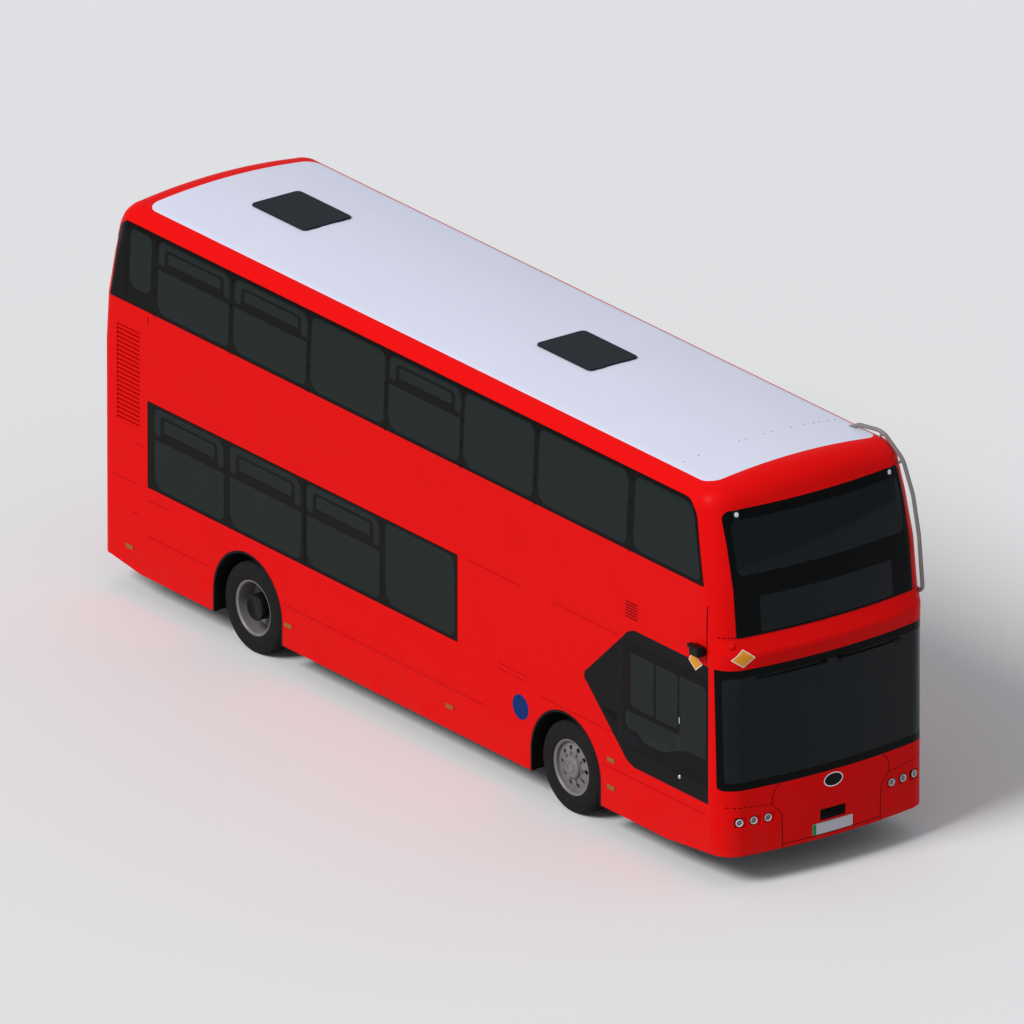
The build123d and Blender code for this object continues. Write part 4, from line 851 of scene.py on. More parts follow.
# ------------------------------------------------------------------ repeated pieces
class Repeater:
    """Geometry Nodes trees that repeat a small block along a line or round an axis."""

    def __init__(self) -> None:
        """Builds both trees."""
        self.line = self.build("repeat_line", ring=False)
        self.ring = self.build("repeat_ring", ring=True)

    @staticmethod
    def build(name: str, ring: bool) -> bpy.types.NodeTree:
        """Builds a tree with the inputs Count, Start, Step, Size and Material.

        Args:
            name: the tree's name.
            ring: whether it repeats nuts round an axis across the bus. Step's X is then the ring's radius, and
                Size's X and Y are a nut's radius and height. Otherwise it repeats boxes along a line.
        Returns:
            The tree.
        """
        tree = bpy.data.node_groups.new(name, "GeometryNodeTree")
        kinds = {"Count": "Int", "Start": "Vector", "Step": "Vector", "Size": "Vector", "Material": "Material"}
        for key, kind in kinds.items():
            tree.interface.new_socket(name=key, in_out="INPUT", socket_type="NodeSocket" + kind)
        tree.interface.new_socket(name="Geometry", in_out="OUTPUT", socket_type="NodeSocketGeometry")
        graph = Graph(tree)
        given = graph.add("NodeGroupInput")
        upright = (math.pi / 2, 0.0, 0.0)
        if ring:
            line = graph.add("GeometryNodeMeshCircle", {"Vertices": given["Count"],
                                                        "Radius": graph.parts(given["Step"])["X"]})
            points = graph.add("GeometryNodeTransform", {"Geometry": line["Mesh"], "Rotation": upright,
                                                         "Translation": given["Start"]})["Geometry"]
            size = graph.parts(given["Size"])
            block = graph.add("GeometryNodeMeshCylinder", {"Vertices": 6, "Radius": size["X"], "Depth": size["Y"]})
        else:
            points = graph.add("GeometryNodeMeshLine", {"Count": given["Count"], "Start Location": given["Start"],
                                                        "Offset": given["Step"]}, mode="OFFSET")["Mesh"]
            block = graph.add("GeometryNodeMeshCube", {"Size": given["Size"]})
        spots = graph.add("GeometryNodeInstanceOnPoints", {"Points": points, "Instance": block["Mesh"],
                                                           "Rotation": upright if ring else (0.0, 0.0, 0.0)})
        real = graph.add("GeometryNodeRealizeInstances", {"Geometry": spots["Instances"]})["Geometry"]
        done = graph.add("GeometryNodeSetMaterial", {"Geometry": real, "Material": given["Material"]})
        graph.add("NodeGroupOutput", {"Geometry": done["Geometry"]})
        return tree

    def make(self, tree: bpy.types.NodeTree, name: str, finish: Finish, body: str = "root",
             **values: int | tuple) -> None:
        """Runs a tree once and keeps its mesh, settled on a body.

        Args:
            tree: the line or the ring.
            name: the piece's name.
            finish: its finish.
            body: the body that it rides on.
            values: the tree's inputs by name.
        """
        obj = linked(name, bpy.data.meshes.new(name))
        modifier = obj.modifiers.new("repeat", "NODES")
        modifier.node_group = tree
        keys = {item.name: item.identifier for item in tree.interface.items_tree if item.in_out == "INPUT"}
        for key, value in {**values, "Material": finish.material()}.items():
            modifier[keys[key]] = value
        obj.update_tag()
        mesh = bpy.data.meshes.new_from_object(obj.evaluated_get(bpy.context.evaluated_depsgraph_get()))
        obj.modifiers.remove(modifier)
        obj.data = mesh
        settle(obj, body, finish.slot)


# ------------------------------------------------------------------ body panels
NODES: dict[str, bpy.types.Object] = {}


@dataclass
class Shell:
    """The painted body panels, shaded as one smooth skin over the frame's sections."""

    panels: tuple[tuple[str, Finish], ...] = (
        ("side_lower_offside", PAINT_RED), ("side_lower_nearside", PAINT_RED), ("side_upper_offside", PAINT_RED),
        ("side_upper_nearside", PAINT_RED), ("front_lower", PAINT_RED), ("front_upper", PAINT_RED),
        ("rear_lower", PAINT_RED), ("rear_upper", PAINT_RED), ("roof_cove", PAINT_RED), ("roof_panel", PAINT_ROOF),
        ("glazing_upper", GLASS_SIDE), ("windscreen_upper", GLASS_FRONT),
    )
    smooth_top: float = 3.80
    row_pitch: float = 0.12
    near: float = 0.012
    pocket: tuple[float, float] = (0.086, 0.054)
    pocket_z: Point = (0.645, 0.757)
    pocket_deep: float = 0.024
    pocket_edge: float = 0.003
    level: float = 0.7
    alike: float = 0.93

    def build(self) -> None:
        """Makes a smooth copy of each panel."""
        for node, finish in self.panels:
            obj = copy_node(node, node + "_skin")
            if node != "roof_panel":
                self.divide(obj)
            dress(obj.data, finish)
            if node == "front_lower":
                self.pockets(obj)
                dress(obj.data, finish)
            kept_normals(obj, self.eased if node not in ("roof_panel", "side_lower_offside") else None)
            settle(obj, "root", finish.slot, node)

    def divide(self, obj: bpy.types.Object) -> None:
        """Adds rows of edges so that the shading can follow the curve."""
        with edited(obj.data) as bm:
            zs = [v.co.z for v in bm.verts]
            low, high = max(min(zs), FORM.brow_z), min(max(zs), self.smooth_top)
            if high > low:
                slice_rows(bm, 2, steps_between(low, high, self.row_pitch))

    def pockets(self, obj: bpy.types.Object) -> None:
        """Sinks a pocket with a straight floor round each headlamp."""
        inboard, outboard = self.pocket
        low, high = self.pocket_z
        edge = self.pocket_edge
        with edited(obj.data) as bm:
            slice_rows(bm, 1, [s * (y + d) for y in HEADLAMP_Y for s in (1, -1)
                               for d in (-inboard, edge - inboard, 0.0, outboard - edge, outboard)])
            slice_rows(bm, 2, (low, low + edge, high - edge, high))
            moved = [v for v in bm.verts if low + edge / 2 < v.co.z < high - edge / 2 and self.sink(v.co)]
            for face in {f for v in moved for f in v.link_faces}:
                face.material_index = 1

    def sink(self, place: Vector) -> bool:
        """Moves a point of the skin to its pocket's floor, and tells whether it did."""
        (inboard, outboard), edge = self.pocket, self.pocket_edge
        for y in HEADLAMP_Y:
            if edge / 2 - inboard < abs(place.y) - y < outboard - edge / 2:
                if abs(place.x - FORM.end(place.y, place.z, 1)[0].x) >= edge:
                    return False
                floor_x = FORM.end(y + outboard, place.z, 1)[0].x - 0.002
                place.x = max(min(place.x, floor_x), place.x - self.pocket_deep)
                return True
        return False

    def eased(self, place: Vector, kept: Vector) -> Vector:
        """The smooth skin's normal for a corner that lies on the skin, else the kept one."""
        if place.z > self.smooth_top or abs(kept.z) > self.level:
            return kept
        if abs(kept.x) > abs(kept.y):
            point, normal = FORM.end(place.y, place.z, 1 if kept.x > 0 else -1)
            off = abs(point.x - place.x)
        else:
            point, normal = FORM.side(place.x, place.z, 1 if kept.y > 0 else -1)
            off = abs(point.y - place.y)
        return normal if off < self.near and normal.dot(kept) > self.alike else kept


# ------------------------------------------------------------------ side glazing
@dataclass
class SideGlazing:
    """The black borders of both decks' glass, with opening windows and pillar joints."""

    upper_band: Point = (3.148, 3.988)
    upper_x: Point = (-4.982, 4.790)
    band_lean: float = 0.193
    band_corners: tuple[float, ...] = (0.02, 0.02, 0.23, 0.10)
    upper_sight: Point = (3.187, 3.950)
    upper_windows: tuple[Point, ...] = ((-4.740, -4.360), (-4.285, -3.093), (-3.010, -1.796), (-1.722, -0.500),
                                        (-0.426, 0.756), (0.819, 1.967), (2.052, 3.511), (3.626, 4.740))
    upper_hoppers: tuple[int, ...] = (1, 2, 4)
    lower_band: Point = (1.259, 2.193)
    lower_sight: Point = (1.296, 2.156)
    offside_x: Point = (-4.437, 0.741)
    offside_windows: tuple[Point, ...] = ((-4.322, -3.159), (-3.056, -1.867), (-1.767, -0.556), (-0.456, 0.689))
    offside_hoppers: tuple[int, ...] = (0, 1, 2)
    nearside_bands: tuple[Point, ...] = ((-4.367, -0.955), (0.774, 3.165))
    nearside_windows: tuple[Point, ...] = ((-4.322, -3.159), (-3.056, -1.867), (-1.767, -1.000), (0.819, 1.900),
                                           (2.020, 3.120))
    corners: tuple[float, ...] = (0.150, 0.085, 0.110, 0.070)
    front_corners: tuple[float, ...] = (0.12, 0.06, 0.19, 0.08)
    quarter: tuple[Point, Point, tuple[float, ...]] = ((-4.755, -4.400), (3.330, 3.940), (0.13, 0.10, 0.09, 0.05))
    border: float = 0.045
    rail_share: float = 0.605
    lintel_share: float = 0.74
    foot: float = 0.05
    leg: float = 0.105
    bar: float = 0.062
    inset: float = 0.155
    bend_r: float = 0.045
    pane_drop: float = 0.026
    seal: float = 0.007
    dash: Point = (0.006, 0.024)
    dash_z: tuple[float, ...] = (3.155, 3.395, 3.645, 3.900)
    wrap: tuple[Point, ...] = ((0.012, 3.148), (0.012, 3.80), (-0.002, 3.80), (-0.012, 3.66), (-0.032, 3.50),
                               (-0.060, 3.30), (-0.085, 3.148))
    round_corner: tuple[Point, Point] = ((-4.865, 3.760), (0.122, 0.218))
    bend_start: float = -4.78
    bend_length: float = 0.06
    bend_out: float = 0.0026
    out: float = 0.0009
    thick: float = 0.0006

    def proud(self, u: float, _: float, more: float = 0.0) -> float:
        """How far the borders stand out of the skin at a length, more where the tail corner bends."""
        return self.out + more + self.bend_out * min(max((self.bend_start - u) / self.bend_length, 0.0), 1.0)

    def front_edge(self, z: float, inset: float) -> float:
        """The length at which the upper band ends, leaning back with height."""
        low, high = self.upper_band
        return self.upper_x[1] - inset - self.band_lean * (z - low) / (high - low)

    def leaning(self, x: float, z: Point, inset: float, radii: Radii) -> list[Point]:
        """A pane or band outline from a length to the leaning front edge."""
        low, high = z
        front = [(self.front_edge(low, inset), low), (self.front_edge(high, inset), high)]
        return softened([(x, low), *front, (x, high)], radii, 9)

    def hopper(self, u: Point, z: Point) -> list[list[Point]]:
        """The see-through areas of an opening window: an inverted U, an inner pane and a lower pane."""
        (start, end), (low, high), r = u, z, self.bend_r
        rail, lintel = (low + (high - low) * share for share in (self.rail_share, self.lintel_share))
        foot, inner, left, right = rail + self.foot, high - self.bar, start + self.leg, end - self.leg
        frame = softened([(start, foot), (start, high), (end, high), (end, foot), (right, foot), (right, inner),
                          (left, inner), (left, foot)], (r, self.corners[3], self.corners[2] + 0.015, r, r, r, r, r))
        pane = rounded((start + self.inset, end - self.inset), (lintel, inner - self.pane_drop),
                       (0.012, 0.012, 0.035, 0.035))
        return [frame, pane, rounded(u, (low, rail), (*self.corners[:2], 0.015, 0.015))]

    def sights(self, windows: Sequence[Point], hoppers: Sequence[int], z: Point) -> list[list[Point]]:
        """The see-through areas of a row of windows."""
        out = []
        for i, u in enumerate(windows):
            out += self.hopper(u, z) if i in hoppers else [rounded(u, z, self.corners)]
        return out

    def build(self) -> None:
        """Lays the black borders on both sides and both decks."""
        for face in (Face.OFFSIDE, Face.NEARSIDE):
            self.upper_deck(face, face.value)
        band = rounded(self.offside_x, self.lower_band, 0.012)
        sights = self.sights(self.offside_windows, self.offside_hoppers, self.lower_sight)
        self.lay_border(Skinned(Face.OFFSIDE).area([band, *sights]), "lower_border_offside")
        self.edge_seal(Face.OFFSIDE, band, "lower_seal_offside")
        plate = Skinned(Face.NEARSIDE)
        for group, span in zip((self.nearside_windows[:3], self.nearside_windows[3:]), self.nearside_bands):
            plate.area([rounded(span, self.lower_band, 0.012), *self.sights(group, (0, 1), self.lower_sight)])
        self.lay_border(plate, "lower_border_nearside")

    def upper_deck(self, face: Face, name: str) -> None:
        """Lays one side's upper border, its seal, its tail corner and the joints on its pillars."""
        band = self.leaning(self.upper_x[0], self.upper_band, 0.0, self.band_corners)
        sights = self.sights(self.upper_windows[1:-1], [i - 1 for i in self.upper_hoppers], self.upper_sight)
        sights.append(rounded(*self.quarter))
        sights.append(self.leaning(self.upper_windows[-1][0], self.upper_sight, self.border, self.front_corners))
        self.lay_border(Skinned(face).area([band, *sights]), "upper_border_" + name)
        self.edge_seal(face, band, "upper_seal_" + name)
        self.tail_corner(face, name)
        dashes = Skinned(face)
        for behind, ahead in zip(self.upper_windows, self.upper_windows[1:]):
            for z in self.dash_z:
                dashes.tick(((behind[1] + ahead[0]) / 2, z), self.dash)
        dashes.lay("pillar_joints_" + name, self.out + JOINT[0], JOINT[1], SEALANT, pitch=0.02)

    def lay_border(self, plate: Skinned, name: str) -> None:
        """Finishes one border."""
        plate.lay(name, self.proud, self.thick, FRIT, pitch=0.05)

    def edge_seal(self, face: Face, outline: Sequence[Point], name: str) -> None:
        """A thin rubber line along the edge of a band."""
        middle = [sum(p[k] for p in outline) / len(outline) for k in (0, 1)]
        inner = [tuple(a - math.copysign(min(self.seal, abs(a - m)), a - m) for a, m in zip(point, middle))
                 for point in outline]
        Skinned(face).area([outline, inner]).lay(name, lambda u, z: self.proud(u, z, 0.0008), 0.0006, SEALANT)

    def tail_corner(self, face: Face, name: str) -> None:
        """Carries the band round the tail corner, with its round upper corner in body paint."""
        edge, high = self.upper_x[0], self.upper_band[1]
        wrap = Skinned(face).area([[(edge + u, z) for u, z in self.wrap]])
        wrap.lay("tail_wrap_" + name, lambda u, z: self.proud(u, z, 0.0011), 0.0012, FRIT, pitch=0.05)
        (x, z), (wide, tall) = self.round_corner
        curve = [(x - wide * math.sin(a), z + tall * math.cos(a)) for a in (math.pi / 2 * i / 8 for i in range(9))]
        corner = Skinned(face).area([[(edge - 0.012, z), (edge - 0.055, 3.800), (edge - 0.106, 3.860),
                                      (edge - 0.106, high + 0.012), (x, high + 0.012), (x, high + 0.003), *curve]])
        corner.lay("band_corner_" + name, lambda u, z: self.proud(u, z, 0.0024), 0.0012, PAINT_RED, pitch=0.025)


@dataclass
class CabSide:
    """The driver's window zone in its matt black panel, with handle, lock, vent and the orange sign."""

    zone: tuple[Point, Point] = ((3.465, 4.867), (1.028, 2.198))
    sliding: tuple[tuple[Point, Point], ...] = (((3.597, 3.975), (1.492, 2.070)), ((4.006, 4.368), (1.492, 2.070)))
    low_glass: tuple[Point, ...] = ((4.399, 1.443), (3.538, 1.436), (3.519, 1.400), (3.519, 1.296), (3.550, 1.258),
                                    (3.621, 1.250), (3.714, 1.253), (3.762, 1.222), (3.808, 1.176), (3.932, 1.170),
                                    (4.098, 1.175), (4.222, 1.212), (4.368, 1.265), (4.492, 1.309), (4.596, 1.321),
                                    (4.699, 1.318), (4.824, 1.328), (4.824, 2.049), (4.793, 2.082), (4.399, 2.076))
    clear: tuple[tuple[Point, Point], ...] = (((3.575, 4.352), (1.262, 1.434)), ((4.410, 4.814), (1.345, 2.045)))
    step: tuple[Point, ...] = ((3.476, 1.215), (3.476, 1.070), (3.735, 1.063), (3.735, 1.177), (3.683, 1.207))
    vent: Point = (3.166, 1.255)
    vent_first: tuple[int, ...] = (8, 5, 3, 0, 0)
    vent_columns: int = 9
    vent_pitch: Point = (0.024, 0.021)
    vent_slot: Point = (0.008, 0.006)
    diamond: tuple[Point, ...] = ((4.546, 2.308), (4.662, 2.222), (4.778, 2.316), (4.612, 2.405))
    cover: tuple[Point, Point] = ((3.500, 3.718), (2.418, 2.619))
    handle: tuple[Place, Place] = ((4.400, -1.2875, 1.575), (4.413, -1.276, 1.645))
    lock: Place = (4.397, -1.2753, 1.002)
    hole: Point = (0.010, 0.008)
    hole_start: Point = (0.026, 0.022)
    hole_pitch: Point = (0.0277, 0.0315)
    hole_count: tuple[int, int] = (7, 6)
    disc: Point = (1.785, 0.900)
    disc_r: float = 0.133
    tip: tuple[Point, ...] = ((2.850, 1.535), (2.842, 1.548), (2.837, 1.570), (2.837, 1.608), (2.846, 1.632),
                              (3.520, 2.250), (3.546, 2.240))

    def build(self) -> None:
        """Lays the zone and fits the small pieces."""
        panes = [rounded(*pane, 0.012) for pane in self.sliding]
        self.plate(rounded(*self.zone, 0.0), *panes, self.low_glass).lay("cab_window_border", *BORDER, FRIT)
        clear = [rounded(*pane, 0.03) for pane in self.clear]
        self.plate(self.low_glass, *clear).lay("cab_low_glass", 0.0006, 0.0004, GLASS_SOLID)
        self.plate(self.step).lay("cab_step_window", 0.0012, 0.0004, GLASS_BLUE)
        self.plate(self.tip).lay("cab_panel_tip", *JOINT, BLACK_SATIN)
        self.grid()
        vent, (start, low), (pitch_x, pitch_z) = Skinned(Face.OFFSIDE), self.vent, self.vent_pitch
        for row, first in enumerate(self.vent_first):
            for column in range(first, self.vent_columns):
                vent.tick((start + column * pitch_x, low + row * pitch_z), self.vent_slot)
        vent.lay("cab_vent", *BORDER, SEALANT)
        bm = bmesh.new()
        box(bm, *self.handle, 0.004)
        lathe(bm, [(0.0, 0.008), (0.016, 0.007), (0.021, 0.0)], Vector(self.lock), Vector((0, -1, 0)), 28)
        add_piece("cab_handle_lock", bm, CHROME)
        sign(Face.OFFSIDE, "cab_diamond", self.diamond)
        self.plate(arc(self.disc, self.disc_r, 0, 350, 35)).lay("side_disc", *STICKER, SIGN_BLUE)

    @staticmethod
    def plate(*loops: Sequence[Point]) -> Skinned:
        """A plate on the offside between outlines."""
        return Skinned(Face.OFFSIDE).area(loops)

    def grid(self) -> None:
        """The perforated cover over the small vent behind the front corner."""
        (x0, x1), (z0, z1) = self.cover
        (wide, tall), (pitch_x, pitch_z), (columns, rows) = self.hole, self.hole_pitch, self.hole_count
        holes = []
        for row in range(rows):
            for column in range(columns):
                x, z = x0 + self.hole_start[0] + column * pitch_x, z0 + self.hole_start[1] + row * pitch_z
                holes.append(rounded((x - wide, x + wide), (z - tall, z + tall), 0.0))
        plate = self.plate(rounded((x0, x1), (z0, z1), 0.006), *holes)
        for hole in holes:
            plate.area([hole], 1)
        plate.lay("cab_vent_cover", 0.0015, 0.0010, PAINT_RED, SEALANT)


def sign(face: Face, name: str, corners: Sequence[Point], on: Height = 0.0) -> None:
    """A blank orange diamond with a white edge, laid on the skin or on what stands out of it."""
    u, z = (sum(p[k] for p in corners) / len(corners) for k in (0, 1))
    inner = [(u + (a - u) * 0.90, z + (b - z) * 0.90) for a, b in corners]
    plate = Skinned(face).area([softened(corners, 0.008, 3), inner], 1).area([inner])
    out, thick = STICKER
    rise = (lambda a, b: on(a, b) + out) if callable(on) else on + out
    plate.lay(name, rise, thick, ORANGE, SIGN_WHITE, pitch=0.016)


@dataclass
class Seams:
    """Panel joints: dotted rivet lines, thin dark gaps and the black edges of the wheel arches."""

    repeat: Repeater
    offside_rows: tuple[tuple[float, float, float], ...] = (
        (-4.43, -3.40, 0.727), (-2.15, 1.32, 0.727), (3.13, 4.86, 0.735), (0.93, 1.81, 2.196), (2.34, 3.44, 2.196),
        (1.42, 1.94, 1.258), (1.37, 1.96, 1.198), (2.09, 3.42, 1.118), (-5.00, -4.56, 1.235), (-4.42, -4.05, 1.121),
        (-4.67, -4.57, 0.915), (-4.64, -4.47, 1.671),
    )
    nearside_rows: tuple[tuple[float, float, float], ...] = (
        (-4.43, -3.40, 0.727), (-2.15, -1.10, 0.727), (0.92, 1.90, 0.727),
    )
    roof_dots: tuple[float, ...] = (-0.93, -0.74, -0.24, -0.16, 0.07, 0.16, 0.41, 0.57, 0.68, 0.75, 0.86, 0.95)
    pitch: float = 0.030
    rivet: Place = (0.014, 0.0016, 0.0075)
    rivet_out: float = 0.0001
    wall: float = 0.052
    arches: tuple[float, ...] = (2.531, -2.760)
    arch_r: float = 0.556
    arch_z: float = 0.507
    skirt_z: float = 0.278
    lip: float = 0.024
    lip_out: float = 0.0030
    lip_lap: float = 0.0015
    roof_x: float = 4.001
    roof_dot: float = 0.006
    dot_z: Point = (-0.001, 0.0012)
    gap: float = 0.0035
    gap_out: float = 0.0016
    gap_deep: float = 0.0008
    side_gaps: tuple[tuple[Point, Point], ...] = (((4.846, 2.645), (0.006, 0.315)), ((-1.807, 1.726), (0.004, 0.464)),
                                                  ((-4.425, 3.060), (0.005, 0.040)))
    nose_path: tuple[Point, ...] = ((0.640, 1.043), (0.662, 1.020), (0.7235, 0.930), (0.7235, 0.830), (0.640, 0.745),
                                    (0.612, 0.700), (0.606, 0.346))
    lamp_dashes: tuple[float, ...] = tuple(0.745 + k * 0.056 for k in range(9))
    lamp_dash: Point = (0.014, 0.004)
    dash_start: Point = (0.735, 0.838)
    dash_run: Point = (0.44, 0.030)
    brow_dashes: tuple[float, ...] = tuple(1.10 + k * 0.032 for k in range(5))
    brow_dash: Point = (0.007, 0.005)
    brow_z: float = 2.660
    sill_y: float = 0.60
    sill_z: Point = (0.383, 0.389)

    def build(self) -> None:
        """Makes the joints on both sides."""
        for side, name, rows in ((OFFSIDE, "offside", self.offside_rows), (NEARSIDE, "nearside", self.nearside_rows)):
            for i, (start, end, z) in enumerate(rows):
                self.repeat.make(self.repeat.line, f"rivets_{name}_{i}", SEALANT, Size=self.rivet,
                                 Count=int((end - start) / self.pitch), Step=(self.pitch, 0.0, 0.0),
                                 Start=(start, side * (FORM.half + self.rivet_out), z))
            self.lips(Face(name))
        self.gaps()

    def lips(self, face: Face) -> None:
        """Black edges round the wheel arches."""
        plate = Skinned(face)
        for x in self.arches:
            outer, inner = ([(x + r, self.skirt_z)] + arc((x, self.arch_z), r, 0, 180, 40) + [(x - r, self.skirt_z)]
                            for r in (self.arch_r + self.lip, self.arch_r - self.lip_lap))
            plate.area([outer + inner[::-1]])
        plate.lay("arch_edges_" + face.value, self.lip_out, self.wall, BLACK_SATIN)

    def gaps(self) -> None:
        """Thin dark gaps between the panels of the offside and the nose."""
        side = Skinned(Face.OFFSIDE)
        for middle, half in self.side_gaps:
            side.tick(middle, half)
        side.lay("offside_gaps", self.gap_out, self.gap_deep, SEALANT)
        nose = Skinned(Face.NOSE)
        (y0, z0), (run, rise), wide, (low, high) = self.dash_start, self.dash_run, self.sill_y, self.sill_z
        for s in (1, -1):
            nose.area([[(s * (y - self.gap), z) for y, z in self.nose_path]
                       + [(s * (y + self.gap), z) for y, z in reversed(self.nose_path)]])
            for y in self.lamp_dashes:
                nose.tick((s * y, z0 + rise * (y - y0) / run), self.lamp_dash)
            for y in self.brow_dashes:
                nose.tick((s * y, self.brow_z), self.brow_dash)
        nose.area([[(-wide, low), (wide, low), (wide, high), (-wide, high)]])
        nose.lay("nose_gaps", *JOINT, SEALANT, pitch=0.05)
        roof = bmesh.new()
        (under, over), dot = self.dot_z, self.roof_dot
        for y in self.roof_dots:
            z = FORM.crown_z - FORM.crown_drop * (y / FORM.half) ** 2
            box(roof, (self.roof_x - dot, y - dot, z + under), (self.roof_x + dot, y + dot, z + over))
        add_piece("roof_rivets", roof, SEALANT)


# ------------------------------------------------------------------ front
@dataclass
class FrontEnd:
    """The black surrounds of both windscreens, the blank sign glass, lamps, plate and badge."""

    upper: tuple[float, Point, tuple[float, ...]] = (1.095, (2.648, 3.917), (0.025, 0.025, 0.09, 0.09))
    upper_sight: tuple[float, Point, float] = (1.030, (3.275, 3.815), 0.07)
    blind: tuple[float, Point, float] = (0.815, (2.672, 3.040), 0.025)
    wrap: tuple[Point, ...] = ((-1.2555, 1.045), (1.2555, 1.045), (1.2665, 2.325), (-1.2665, 2.325))
    wrap_sight: tuple[Point, ...] = ((-1.213, 1.128), (1.213, 1.128), (1.232, 2.238), (-1.232, 2.238))
    lower_sight: tuple[float, Point] = (1.105, (1.130, 2.235))
    lamp_z: float = 0.700
    lamp_r: float = 0.043
    diamond: tuple[Point, ...] = ((-1.172, 2.441), (-1.055, 2.354), (-0.927, 2.449), (-1.055, 2.543))
    brow_z: tuple[float, float, float] = (2.326, 2.455, 2.645)
    brow_out: float = 0.034
    brow_half: float = 1.24
    brow_thick: float = 0.040
    brow_foot: float = 0.25
    brow_fade: Point = (0.70, 0.54)
    brow_corner: float = 0.12
    cap: Point = (-1.142, 2.575)
    out: float = 0.0007
    thick: float = 0.0005
    plate_box: tuple[Point, Point] = ((-0.25, 0.25), (0.388, 0.508))
    strip_box: tuple[Point, Point] = ((-0.246, -0.205), (0.392, 0.504))
    badge_z: float = 0.942
    badge: Point = (0.118, 0.074)

    @staticmethod
    def panel(half: float, z: Point, r: Radii) -> list[Point]:
        """A rounded panel that is even about the middle."""
        return rounded((-half, half), z, r)

    def build(self) -> None:
        """Lays the borders and fits the small pieces."""
        loops = [self.panel(*self.upper), self.panel(*self.upper_sight), self.panel(*self.blind)]
        Skinned(Face.NOSE).area(loops).lay("upper_screen_border", self.out, self.thick, FRIT_FRONT)
        edge = softened(self.wrap_sight, (0.025, 0.025, 0.05, 0.05))
        plate = Skinned(Face.NOSE).area([softened(self.wrap, (0.035, 0.035, 0.0, 0.0)), edge])
        plate.area([edge, self.panel(*self.lower_sight, (0.14, 0.14, 0.06, 0.06))], 1)
        plate.lay("lower_screen_border", self.out, self.thick, FRIT_FRONT, GLASS_EDGE)
        self.brow()
        self.lamps()
        self.plate()
        sign(Face.NOSE, "brow_diamond", self.diamond, self.swell)

    def swell(self, y: float, z: float) -> float:
        """How far the brow stands out: most along its crease, and less towards the corners."""
        low, crease, top = self.brow_z
        foot, (start, length) = self.brow_foot, self.brow_fade
        shape = (top - z) / (top - crease) if z > crease else foot + (1 - foot) * (z - low) / (crease - low)
        side = min(max((abs(y) - start) / length, 0.0), 1.0)
        fade = 1.0 - side * side * (3 - 2 * side)
        return self.brow_out * max(shape, 0.0) * (self.brow_corner + (1 - self.brow_corner) * fade)

    def brow(self) -> None:
        """The painted brow over the lower screen, with its crease, and a round cap on its offside whose rim is
        darkened with painted shade.
        """
        low, _, top = self.brow_z
        plate = Skinned(Face.NOSE).area([self.panel(self.brow_half, (low, top), 0.0)])
        plate.lay("brow_panel", self.swell, self.brow_thick, PAINT_RED, pitch=0.016)
        point, normal = FORM.end(*self.cap, 1)
        start = point + normal * self.swell(*self.cap)
        bm = bmesh.new()
        # The cap's rim takes the second finish, a darker red: painted shade round its side.
        lathe(bm, [(0.036, -0.004), (0.036, 0.002), (0.031, 0.002)], start, normal, 32, 1)
        lathe(bm, [(0.031, 0.002), (0.029, 0.006), (0.018, 0.011), (0.0, 0.013)], start, normal, 32)
        add_piece("brow_cap", bm, PAINT_RED, SHADE_RED)

    def lamps(self) -> None:
        """Bright rings and dark bowls in front of the headlamps."""
        bm = bmesh.new()
        r = self.lamp_r - 0.004
        ring = [(r, 0.0), (r, 0.008), (r - 0.003, 0.010), (r - 0.010, 0.006), (r - 0.010, 0.001)]
        bowl = [(r - 0.010, 0.001), (r - 0.012, 0.005), (r - 0.022, 0.0075), (0.0, 0.009)]
        for y in (side * y for side in (1, -1) for y in HEADLAMP_Y):
            point, normal = FORM.end(y, self.lamp_z, 1)
            for index, profile in enumerate((ring, bowl)):
                lathe(bm, profile, point - normal * 0.012, normal, 40, index)
        add_piece("lamp_rings", bm, LENS_CLEAR, LENS_GREY)

    def plate(self) -> None:
        """A blank number plate with its coloured strip, in its recess, and the blank badge."""
        Skinned(Face.NOSE).area([rounded(*self.plate_box, 0.012)]).lay("front_plate", -0.004, 0.006, PLATE_PALE)
        strip = Skinned(Face.NOSE).area([rounded(*self.strip_box, 0.008)])
        strip.lay("front_plate_strip", -0.003, 0.001, PLATE_GREEN)
        (wide, tall), z = self.badge, self.badge_z
        ring = [(wide * math.cos(a), z + tall * math.sin(a)) for a in (2 * math.pi * i / 48 for i in range(48))]
        core = [(a * 0.91, z + (b - z) * 0.87) for a, b in ring]
        badge = Skinned(Face.NOSE).area([ring, core]).area([core], 1)
        badge.lay("front_badge", 0.004, 0.004, CHROME, BLACK_SATIN, pitch=0.05)


